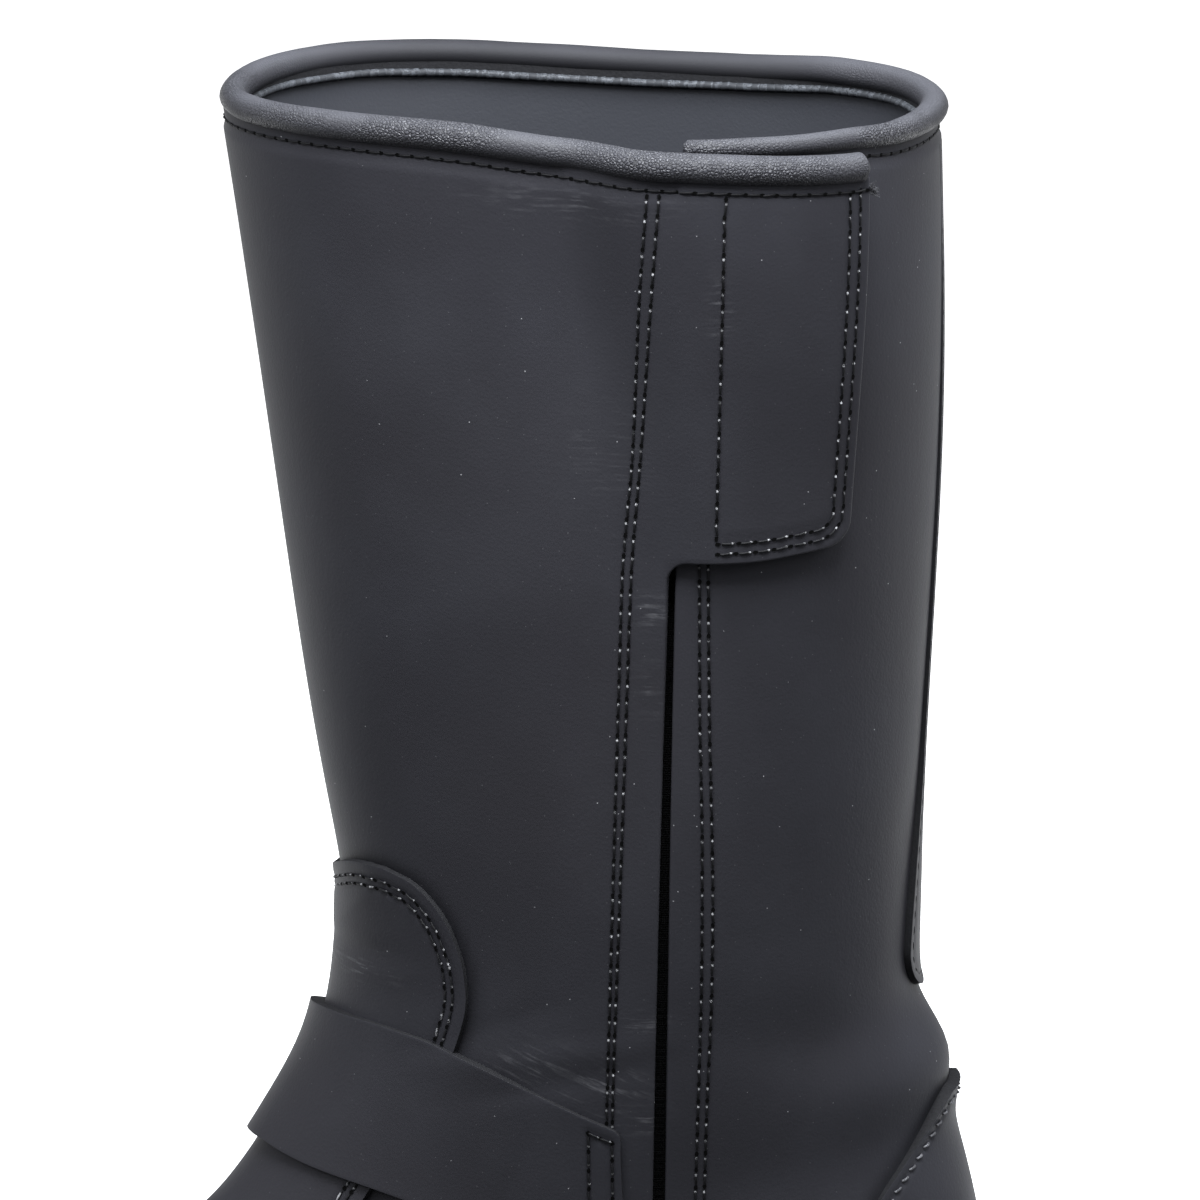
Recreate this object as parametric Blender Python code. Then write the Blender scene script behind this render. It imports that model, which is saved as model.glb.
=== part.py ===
"""A right motorcycle boot in black leather, as an assembly of closed solids.

Frame: toe towards +X, inner (medial) side towards +Y, up +Z, standing on z = 0.
The driving sizes and tables are in millimetres, measured from behind the heel and from the ground.
Every mesh is built in those and placed in metres round the origin, under the middle of the boot's box.
"""

from collections import namedtuple

import bmesh
import bpy
import numpy as np

MM = 0.001

# Where the origin lies in the millimetre frame.
ORIGIN_X = 147.21
ORIGIN_Y = 2.88

# Leather and gaps
WALL = 2.6
OVERLAY = 1.65
STRAP_THICK = 2.4
GAP = 0.3
OVERLAY_GAP = 0.45

# Sections of the outer leather surface, from the featherline (where the upper meets the sole) to the rim.
# Each is a ring from a back point to a front point, in millimetres. sag is how far the ring dips between
# them, heel_half and ball_half are its half widths, waist draws the arch in, back_round and front_round are
# the shares of the length that the rounded ends take, and power is their fullness. skew makes the inner
# side's front end longer and back_skew its back end shorter, shift moves the ring inwards, and swing turns
# its toe inwards.
Section = namedtuple(
    "Section",
    "name back_x back_z front_x front_z sag heel_half ball_half waist "
    "back_round front_round power skew back_skew shift swing",
)
SECTIONS = [
    Section("featherline", 5.0, 34.0, 288.0, 24.0, 13.0, 31.0, 47.5, 5.0, 0.13, 0.40, 2.25, 0.04, 0.0, 0.0, 7.0),
    Section("toe_bulge", 3.6, 44.0, 290.0, 33.0, 12.0, 33.0, 49.0, 5.0, 0.13, 0.40, 2.25, 0.04, 0.0, 0.0, 7.0),
    Section("toe_shoulder", 2.6, 54.0, 284.0, 42.5, 10.0, 34.0, 46.5, 3.0, 0.14, 0.45, 2.20, 0.04, 0.0, 0.0, 6.5),
    Section("toe_box", 2.5, 63.0, 270.0, 48.5, 8.0, 34.5, 42.5, 1.5, 0.15, 0.50, 2.15, 0.03, 0.0, 0.0, 6.0),
    Section("vamp_low", 2.8, 71.0, 245.0, 53.0, 6.0, 34.5, 39.5, 0.0, 0.17, 0.56, 2.10, 0.03, 0.0, 0.0, 5.0),
    Section("vamp_mid", 4.2, 79.5, 214.0, 58.5, 4.5, 34.3, 38.0, 0.0, 0.20, 0.62, 2.05, 0.02, 0.0, 0.0, 4.0),
    Section("vamp_high", 6.0, 88.5, 184.0, 65.5, 3.0, 34.0, 37.5, 0.0, 0.24, 0.64, 2.00, 0.01, 0.0, 0.0, 3.0),
    Section("instep_low", 8.2, 98.0, 160.0, 74.5, 2.0, 33.8, 37.5, 0.0, 0.30, 0.64, 2.00, 0.0, 0.0, 0.3, 2.0),
    Section("instep", 9.9, 108.0, 144.6, 86.5, 1.0, 34.2, 37.5, 0.0, 0.36, 0.62, 2.00, 0.0, 0.0, 0.6, 1.0),
    Section("strap", 9.4, 118.5, 133.4, 103.0, 0.5, 35.4, 38.0, 0.0, 0.42, 0.58, 2.02, 0.0, 0.0, 1.0, 0.5),
    Section("throat", 14.8, 129.5, 125.2, 119.5, 0.0, 37.2, 38.6, 0.0, 0.46, 0.54, 2.06, 0.0, 0.0, 1.4, 0.0),
    Section("ankle", 16.4, 142.0, 121.9, 137.0, 0.0, 38.8, 39.2, 0.0, 0.48, 0.52, 2.10, 0.01, 0.01, 1.8, 0.0),
    Section("throat_top", 16.4, 157.0, 122.6, 153.0, 0.0, 40.0, 40.2, 0.0, 0.48, 0.52, 2.10, 0.02, 0.02, 2.2, 0.0),
    Section("shaft_low", 15.8, 178.0, 126.6, 176.0, 0.0, 41.0, 41.2, 0.0, 0.48, 0.52, 2.10, 0.05, 0.05, 2.7, 0.0),
    Section("shaft_mid", 14.4, 207.0, 131.1, 206.0, 0.0, 42.2, 42.4, 0.0, 0.49, 0.51, 2.10, 0.08, 0.08, 3.2, 0.0),
    Section("shaft_high", 13.2, 237.0, 135.3, 237.0, 0.0, 43.2, 43.6, 0.0, 0.50, 0.50, 2.08, 0.11, 0.11, 3.7, 0.0),
    Section("collar", 13.2, 266.0, 139.5, 266.0, 0.0, 44.0, 44.6, 0.0, 0.51, 0.49, 2.06, 0.13, 0.13, 4.0, 0.0),
    Section("rim", 13.8, 293.0, 142.9, 293.0, 0.0, 44.4, 45.0, 0.0, 0.51, 0.49, 2.05, 0.14, 0.14, 4.2, 0.0),
]
FEATHER = SECTIONS[0]
RIM = len(SECTIONS) - 1
RIM_Z = SECTIONS[RIM].back_z

# The rim's waves, from the slot's rear edge round to its front edge: how far the rim rises over its level,
# the radius of the roll on it, and how far the roll's middle lies outside the leather. way is 1 at the back,
# 1.5 on the outer side and 2 at the front; the rise fades in from the height RISE_FROM.
RimPlace = namedtuple("RimPlace", "way rise radius out")
RIM_PLACES = [
    RimPlace(0.60, 3.0, 1.8, -0.6),
    RimPlace(0.71, 2.9, 1.9, -0.6),
    RimPlace(0.78, 2.6, 2.1, -0.3),
    RimPlace(0.86, 1.7, 2.3, 0.1),
    RimPlace(1.00, 2.0, 2.6, 0.5),
    RimPlace(1.16, 2.9, 2.65, 0.0),
    RimPlace(1.24, 2.8, 2.65, -1.0),
    RimPlace(1.36, 1.3, 2.65, -1.3),
    RimPlace(1.46, 0.9, 2.65, -1.3),
    RimPlace(1.55, 1.3, 2.65, -1.3),
    RimPlace(1.65, 2.0, 2.65, -1.3),
    RimPlace(1.78, 2.7, 2.65, -1.3),
    RimPlace(2.00, 2.6, 2.65, -1.6),
    RimPlace(2.16, 2.75, 2.65, -1.5),
    RimPlace(2.30, 2.9, 2.8, -1.3),
    RimPlace(2.36, 2.8, 2.85, -1.3),
    RimPlace(2.41, 2.4, 2.85, -1.3),
    RimPlace(2.45, 1.6, 2.85, -1.3),
    RimPlace(2.50, 0.6, 2.85, -1.3),
    RimPlace(2.56, 0.0, 2.85, -1.3),
]
RISE_FROM = 14.8

# Stations along a ring, as shares of its length
HEEL_STATION = 0.16
BALL_STATION = 0.66
WAIST_STATION = 0.40
WAIST_SPAN = 0.24
INNER_WAIST = 1.5
OUTER_WAIST = 0.5

# The upper's rows, in sections, and its columns
UPPER_ROWS = [0, 0.5, 1, 1.5, 2, 2.6, 3.3, 4, 4.6, 5.2, 5.8, 6.4, 7, 7.6, 8.2, 8.8, 9.4, 10, 10.6, 11.3]
UPPER_ROWS += [12, 12.7, 13.4, 14.2, 15, 16, RIM]
UPPER_COLUMNS = 40
SIDE_PULL = 0.4
SIDE_PULL_HEIGHTS = (7.0, 3.0)

# The zip's slot on the inner side: its middle line, width and lower end
SLOT_X_TOP = 56.8
SLOT_SLOPE = 0.022
SLOT_WIDTH = 2.2
SLOT_END_ROW = 4
SLOT_COLUMNS = (0.57, 0.585)
SLOT_WARP = (0.375, 0.79)

# The zip's tape behind the wall and its closed teeth in the slot
TAPE_WIDTH = 22.0
TAPE_THICK = 1.0
TAPE_GAP = 0.45
TEETH_WIDTH = 1.2
TEETH_DEPTH = 1.2
ZIP_LOW_Z = 67.0
ZIP_HIGH_Z = 289.0
ZIP_ROWS = 22

# Edges of the vamp and the heel counter: how far from the back they lie at each height
Edge = namedtuple("Edge", "height x")
VAMP_EDGE = [
    Edge(0.12, 160.0),
    Edge(1.5, 156.0),
    Edge(3.0, 149.0),
    Edge(5.0, 139.5),
    Edge(7.0, 128.0),
    Edge(8.4, 115.5),
    Edge(9.4, 105.0),
    Edge(10.3, 98.3),
    Edge(10.9, 96.2),
    Edge(11.3, 96.7),
    Edge(11.6, 98.0),
    Edge(11.9, 100.0),
    Edge(12.13, 103.1),
    Edge(12.28, 106.8),
    Edge(12.36, 112.0),
]
VAMP_ROWS = [0.12, 0.5, 1, 1.5, 2, 2.6, 3.3, 4, 4.6, 5.2, 5.8, 6.4, 7, 7.6, 8.2, 8.8, 9.2, 9.6, 10, 10.6]
VAMP_ROWS += [11.3, 11.7, 12, 12.2, 12.36]
VAMP_COLUMNS = 18
THROAT_DIP = 0.34
THROAT_DIP_HALF = 0.24
THROAT_DIP_AROUND = -0.06
THROAT_DIP_START = 10.0
COUNTER_EDGE = [
    Edge(0.12, 67.0),
    Edge(1.5, 60.0),
    Edge(3.2, 48.0),
    Edge(4.6, 37.0),
    Edge(5.7, 28.5),
    Edge(7.02, 21.1),
    Edge(7.41, 17.9),
    Edge(7.69, 15.6),
    Edge(7.98, 13.5),
    Edge(8.3, 11.4),
    Edge(8.45, 10.3),
]
COUNTER_ROWS = [0.12, 1, 2, 3.3, 4, 4.6, 5.2, 5.8, 6.4, 7, 7.4, 7.8, 8.1, 8.3, 8.45]
COUNTER_COLUMNS = 18

# Back stay: a strip up the back seam with a round lower end, narrower over the ankle
STAY_HALF = 9.5
STAY_NARROW = 4.0
STAY_TAPER_Z = (138.0, 178.0)
STAY_LOW_Z = 131.0
STAY_HIGH_Z = 291.5
STAY_COLUMNS = 6

# Instep strap: its lower and upper edges round the boot, as heights over the ground, and its ends. It slopes
# down towards the outer side.
StrapPlace = namedtuple("StrapPlace", "around low_z high_z")
STRAP = [
    StrapPlace(-0.58, 81.2, 108.4),
    StrapPlace(-0.50, 84.0, 111.2),
    StrapPlace(-0.42, 86.6, 113.8),
    StrapPlace(-0.34, 88.8, 116.0),
    StrapPlace(-0.20, 92.2, 119.6),
    StrapPlace(-0.10, 95.4, 123.0),
    StrapPlace(0.0, 98.4, 126.2),
    StrapPlace(0.10, 99.9, 129.0),
    StrapPlace(0.20, 101.0, 130.3),
    StrapPlace(0.27, 99.8, 128.9),
    StrapPlace(0.34, 97.4, 125.9),
    StrapPlace(0.42, 92.8, 120.8),
    StrapPlace(0.50, 87.4, 115.2),
    StrapPlace(0.58, 82.0, 109.6),
]
STRAP_END_X = 67.6
STRAP_COLUMNS = 22
STRAP_ROWS = 5
STRAP_OVER_VAMP = OVERLAY_GAP + OVERLAY + OVERLAY_GAP
STRAP_STEP = (0.335, 0.43)

# Closure tab: the flap of the front panel that laps over the slot
TAB_FRONT = (0.535, 0.575)
TAB_REAR = (0.768, 0.795)
TAB_LOW_Z = 222.2
TAB_CORNER = 7.0
TAB_CORNER_SHARE = 0.2
TAB_LIFT_LOW = 1.8
TAB_LIFT_RIM = 4.7
TAB_COLUMNS = 10
TAB_ROWS = 8

# Collar binding: one roll from the slot's rear edge round the rim and on along the tab
BINDING_START = 0.612
BINDING_STEP = (2.50, 2.585)
BINDING_OUT = 6.9
BINDING_DROP = 2.1
BINDING_DROP_FROM = 2.55
BINDING_END = 2.787
BINDING_STATIONS = 56
BINDING_SIDES = 8

# Sole: layers under the featherline, how far its edge stands out, and its lugs
MIDSOLE_THICK = 3.7
OUTSOLE_THICK = 6.4
LUG_DEPTH = 4.6
INSOLE_THICK = 2.5
INSOLE_PLAY = 1.2
EDGE_HEEL = 3.0
EDGE_FORE = 6.0
EDGE_BLEND = (0.25, 0.60)
LUG_LENGTH = 13.5
LUG_GROOVE = 5.0
LUG_ROWS = 6
TOE_LUG_AROUND = 0.12
WAIST_ROWS = 13
LUG_ACROSS = (0.0, 0.22, 0.29, 0.465, 0.535, 0.71, 0.78, 1.0)
HEEL_BREAST_X = 76.0
HEEL_BREAST_HOLLOW = 4.0
HEEL_TAPER = 1.4
HEEL_GROOVE_DEPTH = 3.0
HEEL_ACROSS = (0.0, 0.3, 0.36, 0.64, 0.7, 1.0)

# Each piece's look: colour, roughness
Look = namedtuple("Look", "color roughness")
LOOKS = {
    "leather": Look((0.030, 0.029, 0.033), 0.62),
    "binding": Look((0.026, 0.025, 0.028), 0.42),
    "rubber": Look((0.020, 0.020, 0.020), 0.70),
    "edge": Look((0.028, 0.026, 0.025), 0.55),
    "board": Look((0.075, 0.078, 0.088), 0.80),
    "tape": Look((0.012, 0.012, 0.013), 0.75),
}


def smooth(t):
    """0 to 1 with level ends."""
    t = np.clip(t, 0.0, 1.0)
    return t * t * (3.0 - 2.0 * t)


def between(pair, share):
    """The value a share of the way from the first of a pair to the second."""
    return pair[0] + (pair[1] - pair[0]) * share


def ramp(value, pair):
    """0 at the first of a pair, 1 at the second, with level ends."""
    return smooth((value - pair[0]) / (pair[1] - pair[0]))


def spline_second(values):
    """Second derivatives of the natural cubic spline through each column, for unit steps."""
    count = len(values)
    matrix = np.eye(count)
    right = np.zeros_like(values)
    for row in range(1, count - 1):
        matrix[row, row - 1 : row + 2] = (1.0, 4.0, 1.0)
        right[row] = 6.0 * (values[row - 1] - 2.0 * values[row] + values[row + 1])
    return np.linalg.solve(matrix, right)


SECTION_VALUES = np.array([section[1:] for section in SECTIONS], float)
SECTION_SECOND = spline_second(SECTION_VALUES)


def section_at(height):
    """The ring's sizes at a place between two sections, as {column: array}; height counts sections."""
    height = np.clip(np.asarray(height, float), 0.0, RIM)
    below = np.minimum(height.astype(int), RIM - 1)
    b = (height - below)[..., None]
    a = 1.0 - b
    mixed = a * SECTION_VALUES[below] + b * SECTION_VALUES[below + 1]
    mixed += ((a**3 - a) * SECTION_SECOND[below] + (b**3 - b) * SECTION_SECOND[below + 1]) / 6.0
    return dict(zip(Section._fields[1:], np.moveaxis(mixed, -1, 0)))


def dip(s):
    """The curve between a ring's back and front: 0 at both ends, 1 just behind the ball."""
    return np.sin(np.pi * np.clip(s, 0.0, 1.0) ** 1.5)


def half_width(ring, s, inner):
    """A ring's half width at the share s of its length, on the inner or outer side."""
    side = np.where(inner, 1.0, -1.0)
    ball = BALL_STATION + side * ring["skew"]
    body = ring["heel_half"] + (ring["ball_half"] - ring["heel_half"]) * ramp(s, (HEEL_STATION, ball))
    hollow = np.cos(np.clip((s - WAIST_STATION) / WAIST_SPAN, -1.0, 1.0) * np.pi / 2) ** 2
    body = body - np.where(inner, INNER_WAIST, OUTER_WAIST) * ring["waist"] * hollow
    back = np.clip(1.0 - s / (ring["back_round"] - side * ring["back_skew"]), 0.0, 1.0)
    front = np.clip(1.0 - (1.0 - s) / (ring["front_round"] + side * ring["skew"]), 0.0, 1.0)
    power = ring["power"]
    ends = (1.0 - back**power) ** (1.0 / power) * (1.0 - front**power) ** (1.0 / power)
    return body * ends


def rim_value(column, way):
    """A value of the rim at a place round it, from its table."""
    return monotone([place.way for place in RIM_PLACES], [getattr(place, column) for place in RIM_PLACES], way)


def skin(around, height, waved=True):
    """A point of the outer leather surface, in millimetres.

    around is 0 at the front, 0.5 half way along the inner side, 1 at the back and -0.5 on the outer side.
    """
    around = (np.asarray(around, float) + 1.0) % 2.0 - 1.0
    around, height = np.broadcast_arrays(around, np.asarray(height, float))
    ring = section_at(height)
    s = (1.0 + np.cos(np.pi * around)) / 2.0
    inner = around >= 0.0
    x = ring["back_x"] + (ring["front_x"] - ring["back_x"]) * s
    z = ring["back_z"] + (ring["front_z"] - ring["back_z"]) * s - ring["sag"] * dip(s)
    y = half_width(ring, s, inner) * np.where(inner, 1.0, -1.0)
    y = y + ring["shift"] + ring["swing"] * smooth((s - 0.4) / 0.6)
    if waved and np.any(height > RISE_FROM):
        rear = inner & (x < SLOT_X_TOP + SLOT_SLOPE * (RIM_Z - z))
        z = z + rim_value("rise", np.where(rear, around, 2.0 + around)) * ramp(height, (RISE_FROM, RIM))
    return np.stack([x, y, z], axis=-1)


def skin_normal(around, height, level=False):
    """The outward normal of the outer leather surface, or its level part."""
    step = 0.004
    around = np.asarray(around, float)
    along = skin(around + step, height, False) - skin(around - step, height, False)
    low = np.clip(np.asarray(height, float) - 0.05, 0.0, RIM)
    high = np.clip(np.asarray(height, float) + 0.05, 0.0, RIM)
    up = skin(around, high, False) - skin(around, low, False)
    normal = np.cross(along, up)
    if level:
        normal[..., 2] = 0.0
    return normal / np.linalg.norm(normal, axis=-1, keepdims=True)


def lifted(around, height, lift):
    """A point that lies lift millimetres outside the outer leather surface."""
    return skin(around, height) + skin_normal(around, height) * np.asarray(lift, float)[..., None]


def around_at(height, x):
    """Where round a ring, on the inner side, the distance from the back is x."""
    ring = section_at(height)
    s = np.clip((x - ring["back_x"]) / (ring["front_x"] - ring["back_x"]), 0.0, 1.0)
    return np.arccos(2.0 * s - 1.0) / np.pi


def height_at(around, z):
    """The height, in sections, at which the surface is z over the ground."""
    around, z = np.broadcast_arrays(np.asarray(around, float), np.asarray(z, float))
    low = np.zeros(z.shape)
    high = np.full(z.shape, float(RIM))
    for _ in range(30):
        middle = (low + high) / 2.0
        under = skin(around, middle)[..., 2] < z
        low = np.where(under, middle, low)
        high = np.where(under, high, middle)
    return (low + high) / 2.0


def arc_rate(around, height):
    """Millimetres along the ring for a unit of around."""
    step = 0.002
    apart = skin(around + step, height, False) - skin(around - step, height, False)
    return np.linalg.norm(apart, axis=-1) / (2.0 * step)


def monotone(knots, values, at):
    """A smooth curve through the knots that doesn't overshoot them."""
    knots = np.asarray(knots, float)
    values = np.asarray(values, float)
    gaps = np.diff(knots)
    slopes = np.diff(values) / gaps
    tangents = np.concatenate([slopes[:1], np.zeros(len(slopes) - 1), slopes[-1:]])
    same = slopes[:-1] * slopes[1:] > 0.0
    total = np.where(same, slopes[:-1] + slopes[1:], 1.0)
    tangents[1:-1] = np.where(same, 2.0 * slopes[:-1] * slopes[1:] / total, 0.0)
    at = np.clip(at, knots[0], knots[-1])
    place = np.clip(np.searchsorted(knots, at, side="right") - 1, 0, len(gaps) - 1)
    t = (at - knots[place]) / gaps[place]
    blend = smooth(t)
    curve = values[place] * (1.0 - blend) + values[place + 1] * blend
    curve = curve + gaps[place] * (t * (1.0 - t) ** 2 * tangents[place] - t * t * (1.0 - t) * tangents[place + 1])
    return curve


def edge_around(table, height):
    """Where round the ring an edge lies at a height, from its table."""
    x = monotone([edge.height for edge in table], [edge.x for edge in table], height)
    return around_at(height, x)


def slot_around(height):
    """The middle of the zip's slot at a height."""
    around = np.full(np.shape(height), 0.6)
    for _ in range(8):
        z = skin(around, height)[..., 2]
        around = around_at(height, SLOT_X_TOP + SLOT_SLOPE * (RIM_Z - z))
    return around


def leather(look):
    """The material with a look's colour and roughness."""
    material = bpy.data.materials.get(look)
    if material is None:
        material = bpy.data.materials.new(look)
        material.use_nodes = True
        shader = material.node_tree.nodes["Principled BSDF"]
        shader.inputs["Base Color"].default_value = (*LOOKS[look].color, 1.0)
        shader.inputs["Roughness"].default_value = LOOKS[look].roughness
        shader.inputs["Metallic"].default_value = 0.0
    return material


def add_piece(name, points, faces, look):
    """A named object from millimetre points, its faces turned outwards."""
    placed = (np.asarray(points, float) - (ORIGIN_X, ORIGIN_Y, 0.0)) * MM
    mesh = bpy.data.meshes.new(name)
    mesh.from_pydata(placed.tolist(), [], faces)
    work = bmesh.new()
    work.from_mesh(mesh)
    bmesh.ops.remove_doubles(work, verts=work.verts, dist=0.00001)
    loose = [vert for vert in work.verts if not vert.link_faces]
    bmesh.ops.delete(work, geom=loose, context="VERTS")
    bmesh.ops.triangulate(work, faces=work.faces)
    bmesh.ops.recalc_face_normals(work, faces=work.faces)
    if work.calc_volume(signed=True) < 0.0:
        bmesh.ops.reverse_faces(work, faces=work.faces)
    work.to_mesh(mesh)
    work.free()
    mesh.materials.append(leather(look))
    mesh.shade_smooth()
    piece = bpy.data.objects.new(name, mesh)
    bpy.context.scene.collection.objects.link(piece)
    return piece


def add_sheet(name, outer, inner, look, keep=None, closed=False):
    """A solid between two grids of points, over the cells that are kept, with walls round them."""
    rows, columns = outer.shape[:2]
    spans = columns if closed else columns - 1
    if keep is None:
        keep = np.ones((rows - 1, spans), bool)
    layer = rows * columns

    def point(row, column):
        return row * columns + column % columns

    def kept(row, column):
        if closed:
            column = column % spans
        return 0 <= row < rows - 1 and 0 <= column < spans and keep[row, column]

    faces = []
    for row in range(rows - 1):
        for column in range(spans):
            if not kept(row, column):
                continue
            corners = [point(row, column), point(row, column + 1)]
            corners += [point(row + 1, column + 1), point(row + 1, column)]
            faces.append(corners)
            faces.append([corner + layer for corner in reversed(corners)])
            sides = [(row - 1, column), (row, column + 1), (row + 1, column), (row, column - 1)]
            for side, neighbour in enumerate(sides):
                if not kept(*neighbour):
                    start = corners[side]
                    end = corners[(side + 1) % 4]
                    faces.append([end, start, start + layer, end + layer])
    points = np.concatenate([outer.reshape(-1, 3), inner.reshape(-1, 3)])
    return add_piece(name, points, faces, look)


def add_sweep(name, rings, look):
    """A solid through a run of equal rings of points, closed at both ends."""
    count, sides = rings.shape[:2]
    faces = [list(range(sides)), list(range((count - 1) * sides, count * sides))]
    for row in range(count - 1):
        for side in range(sides):
            after = (side + 1) % sides
            low = row * sides
            faces.append([low + side, low + after, low + sides + after, low + sides + side])
    return add_piece(name, rings.reshape(-1, 3), faces, look)


def add_plate(name, top, base, low, lugs, look):
    """A plate from a top grid to a base grid, whose lug cells go on down to the low grid."""
    rows, columns = top.shape[:2]
    layer = rows * columns

    def lug(row, column):
        return 0 <= row < rows - 1 and 0 <= column < columns - 1 and lugs[row, column]

    faces = []
    for row in range(rows - 1):
        for column in range(columns - 1):
            first = row * columns + column
            corners = [first, first + 1, first + columns + 1, first + columns]
            faces.append(corners)
            depth = 2 * layer if lug(row, column) else layer
            faces.append([corner + depth for corner in reversed(corners)])
            sides = [(row - 1, column), (row, column + 1), (row + 1, column), (row, column - 1)]
            for side, (next_row, next_column) in enumerate(sides):
                start = corners[side]
                end = corners[(side + 1) % 4]
                inside = 0 <= next_row < rows - 1 and 0 <= next_column < columns - 1
                if not inside:
                    faces.append([end, start, start + layer, end + layer])
                if lug(row, column) and not lug(next_row, next_column):
                    faces.append([end + layer, start + layer, start + 2 * layer, end + 2 * layer])
    points = np.concatenate([top.reshape(-1, 3), base.reshape(-1, 3), low.reshape(-1, 3)])
    return add_piece(name, points, faces, look)


def make_upper():
    """The hollow leather upper with the zip's slot, open at the collar and underneath."""
    heights = np.array(UPPER_ROWS, float)[:, None]
    even = -1.0 + 2.0 * np.arange(UPPER_COLUMNS) / UPPER_COLUMNS
    slot_column = int(np.searchsorted(even, SLOT_COLUMNS[0]))
    columns = np.insert(even, slot_column, SLOT_COLUMNS[0])
    columns[slot_column + 1] = SLOT_COLUMNS[1]
    pull = SIDE_PULL * ramp(heights, SIDE_PULL_HEIGHTS)
    pulled = columns + pull * np.sin(2.0 * np.pi * columns) / (2.0 * np.pi)
    middle = slot_around(heights[:, 0])
    half = SLOT_WIDTH / 2.0 / arc_rate(middle, heights[:, 0])
    around = np.empty(pulled.shape)
    for row, places in enumerate(pulled):
        slot_from = places[slot_column : slot_column + 2]
        slot_to = (middle[row] - half[row], middle[row] + half[row])
        knots = (-1.0, SLOT_WARP[0], *slot_from, SLOT_WARP[1], 1.0)
        around[row] = np.interp(places, knots, (-1.0, SLOT_WARP[0], *slot_to, SLOT_WARP[1], 1.0))
    keep = np.ones((len(heights) - 1, len(columns)), bool)
    keep[heights[:-1, 0] >= SLOT_END_ROW, slot_column] = False
    outer = skin(around, heights)
    inner = lifted(around, heights, np.full(around.shape, -WALL))
    add_sheet("upper", outer, inner, "leather", keep, closed=True)


def throat_height(around, height):
    """A vamp row's height, which dips a little over the middle of the throat."""
    middle = 1.0 - smooth(np.abs(around - THROAT_DIP_AROUND) / THROAT_DIP_HALF)
    return height - THROAT_DIP * middle * ramp(height, (THROAT_DIP_START, VAMP_ROWS[-1]))


def make_vamp():
    """The vamp laid over the upper's front, up to the rounded throat."""
    rows = np.array(VAMP_ROWS, float)[:, None]
    share = np.linspace(-1.0, 1.0, VAMP_COLUMNS + 1)
    share = share + SIDE_PULL * np.sin(np.pi * share) / np.pi
    around = share * edge_around(VAMP_EDGE, rows)
    height = throat_height(around, rows)
    outer = lifted(around, height, np.full(around.shape, OVERLAY_GAP + OVERLAY))
    inner = lifted(around, height, np.full(around.shape, OVERLAY_GAP))
    add_sheet("vamp", outer, inner, "leather")


def make_counter():
    """The heel counter, with its peaked top at the back seam."""
    rows = np.array(COUNTER_ROWS, float)[:, None]
    share = np.linspace(-1.0, 1.0, COUNTER_COLUMNS + 1)
    around = 1.0 + share * (1.0 - edge_around(COUNTER_EDGE, rows))
    outer = lifted(around, rows, np.full(around.shape, OVERLAY_GAP + OVERLAY))
    inner = lifted(around, rows, np.full(around.shape, OVERLAY_GAP))
    add_sheet("heel_counter", outer, inner, "leather")


def make_backstay():
    """The strip over the back seam, with a round lower end."""
    round_rise = STAY_HALF * (1.0 - np.cos(np.radians([12, 35, 60, 90])))
    straight = np.linspace(STAY_LOW_Z + STAY_HALF, STAY_HIGH_Z, 12)[1:]
    rows_z = np.concatenate([STAY_LOW_Z + round_rise, straight])
    half = np.full(len(rows_z), STAY_HALF)
    half[: len(round_rise)] = STAY_HALF * np.sin(np.radians([12, 35, 60, 90]))
    half = np.minimum(half, between((STAY_HALF, STAY_NARROW), ramp(rows_z, STAY_TAPER_Z)))
    heights = height_at(1.0, rows_z)
    share = np.linspace(-1.0, 1.0, STAY_COLUMNS + 1)
    around = np.empty((len(rows_z), len(share)))
    for row, height in enumerate(heights):
        fine = np.linspace(0.8, 1.2, 401)
        steps = np.linalg.norm(np.diff(skin(fine, height), axis=0), axis=1)
        distance = np.concatenate([[0.0], np.cumsum(steps)])
        distance -= np.interp(1.0, fine, distance)
        around[row] = np.interp(share * half[row], distance, fine)
    outer = lifted(around, heights[:, None], np.full(around.shape, OVERLAY_GAP + OVERLAY))
    inner = lifted(around, heights[:, None], np.full(around.shape, OVERLAY_GAP))
    add_sheet("backstay", outer, inner, "leather")


def strap_height(around, share):
    """The height at a place round the boot, a share of the way up the strap."""
    places = [place.around for place in STRAP]
    low = monotone(places, [place.low_z for place in STRAP], around)
    high = monotone(places, [place.high_z for place in STRAP], around)
    return height_at(around, low + (high - low) * share)


def strap_end(share, side):
    """Where round the boot the strap's upright end on a side lies, a share of the way up it."""
    around = np.full(np.shape(share), 0.52)
    for _ in range(8):
        around = around_at(strap_height(side * around, share), STRAP_END_X)
    return around


def make_strap():
    """The instep strap over vamp and upper, sewn down at both ends."""
    share = np.linspace(0.0, 1.0, STRAP_ROWS + 1)[:, None]
    columns = np.linspace(-1.0, 1.0, STRAP_COLUMNS + 1)
    around = columns * np.where(columns > 0.0, strap_end(share, 1.0), strap_end(share, -1.0))
    height = strap_height(around, share)
    rise = between((STRAP_OVER_VAMP, OVERLAY_GAP), ramp(np.abs(around), STRAP_STEP))
    outer = lifted(around, height, rise + STRAP_THICK)
    inner = lifted(around, height, rise)
    add_sheet("instep_strap", outer, inner, "leather")


def binding_drop(way):
    """How far the roll hangs lower along the tab; way counts on past a full turn."""
    return BINDING_DROP * ramp(way, (BINDING_DROP_FROM, BINDING_END))


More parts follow.
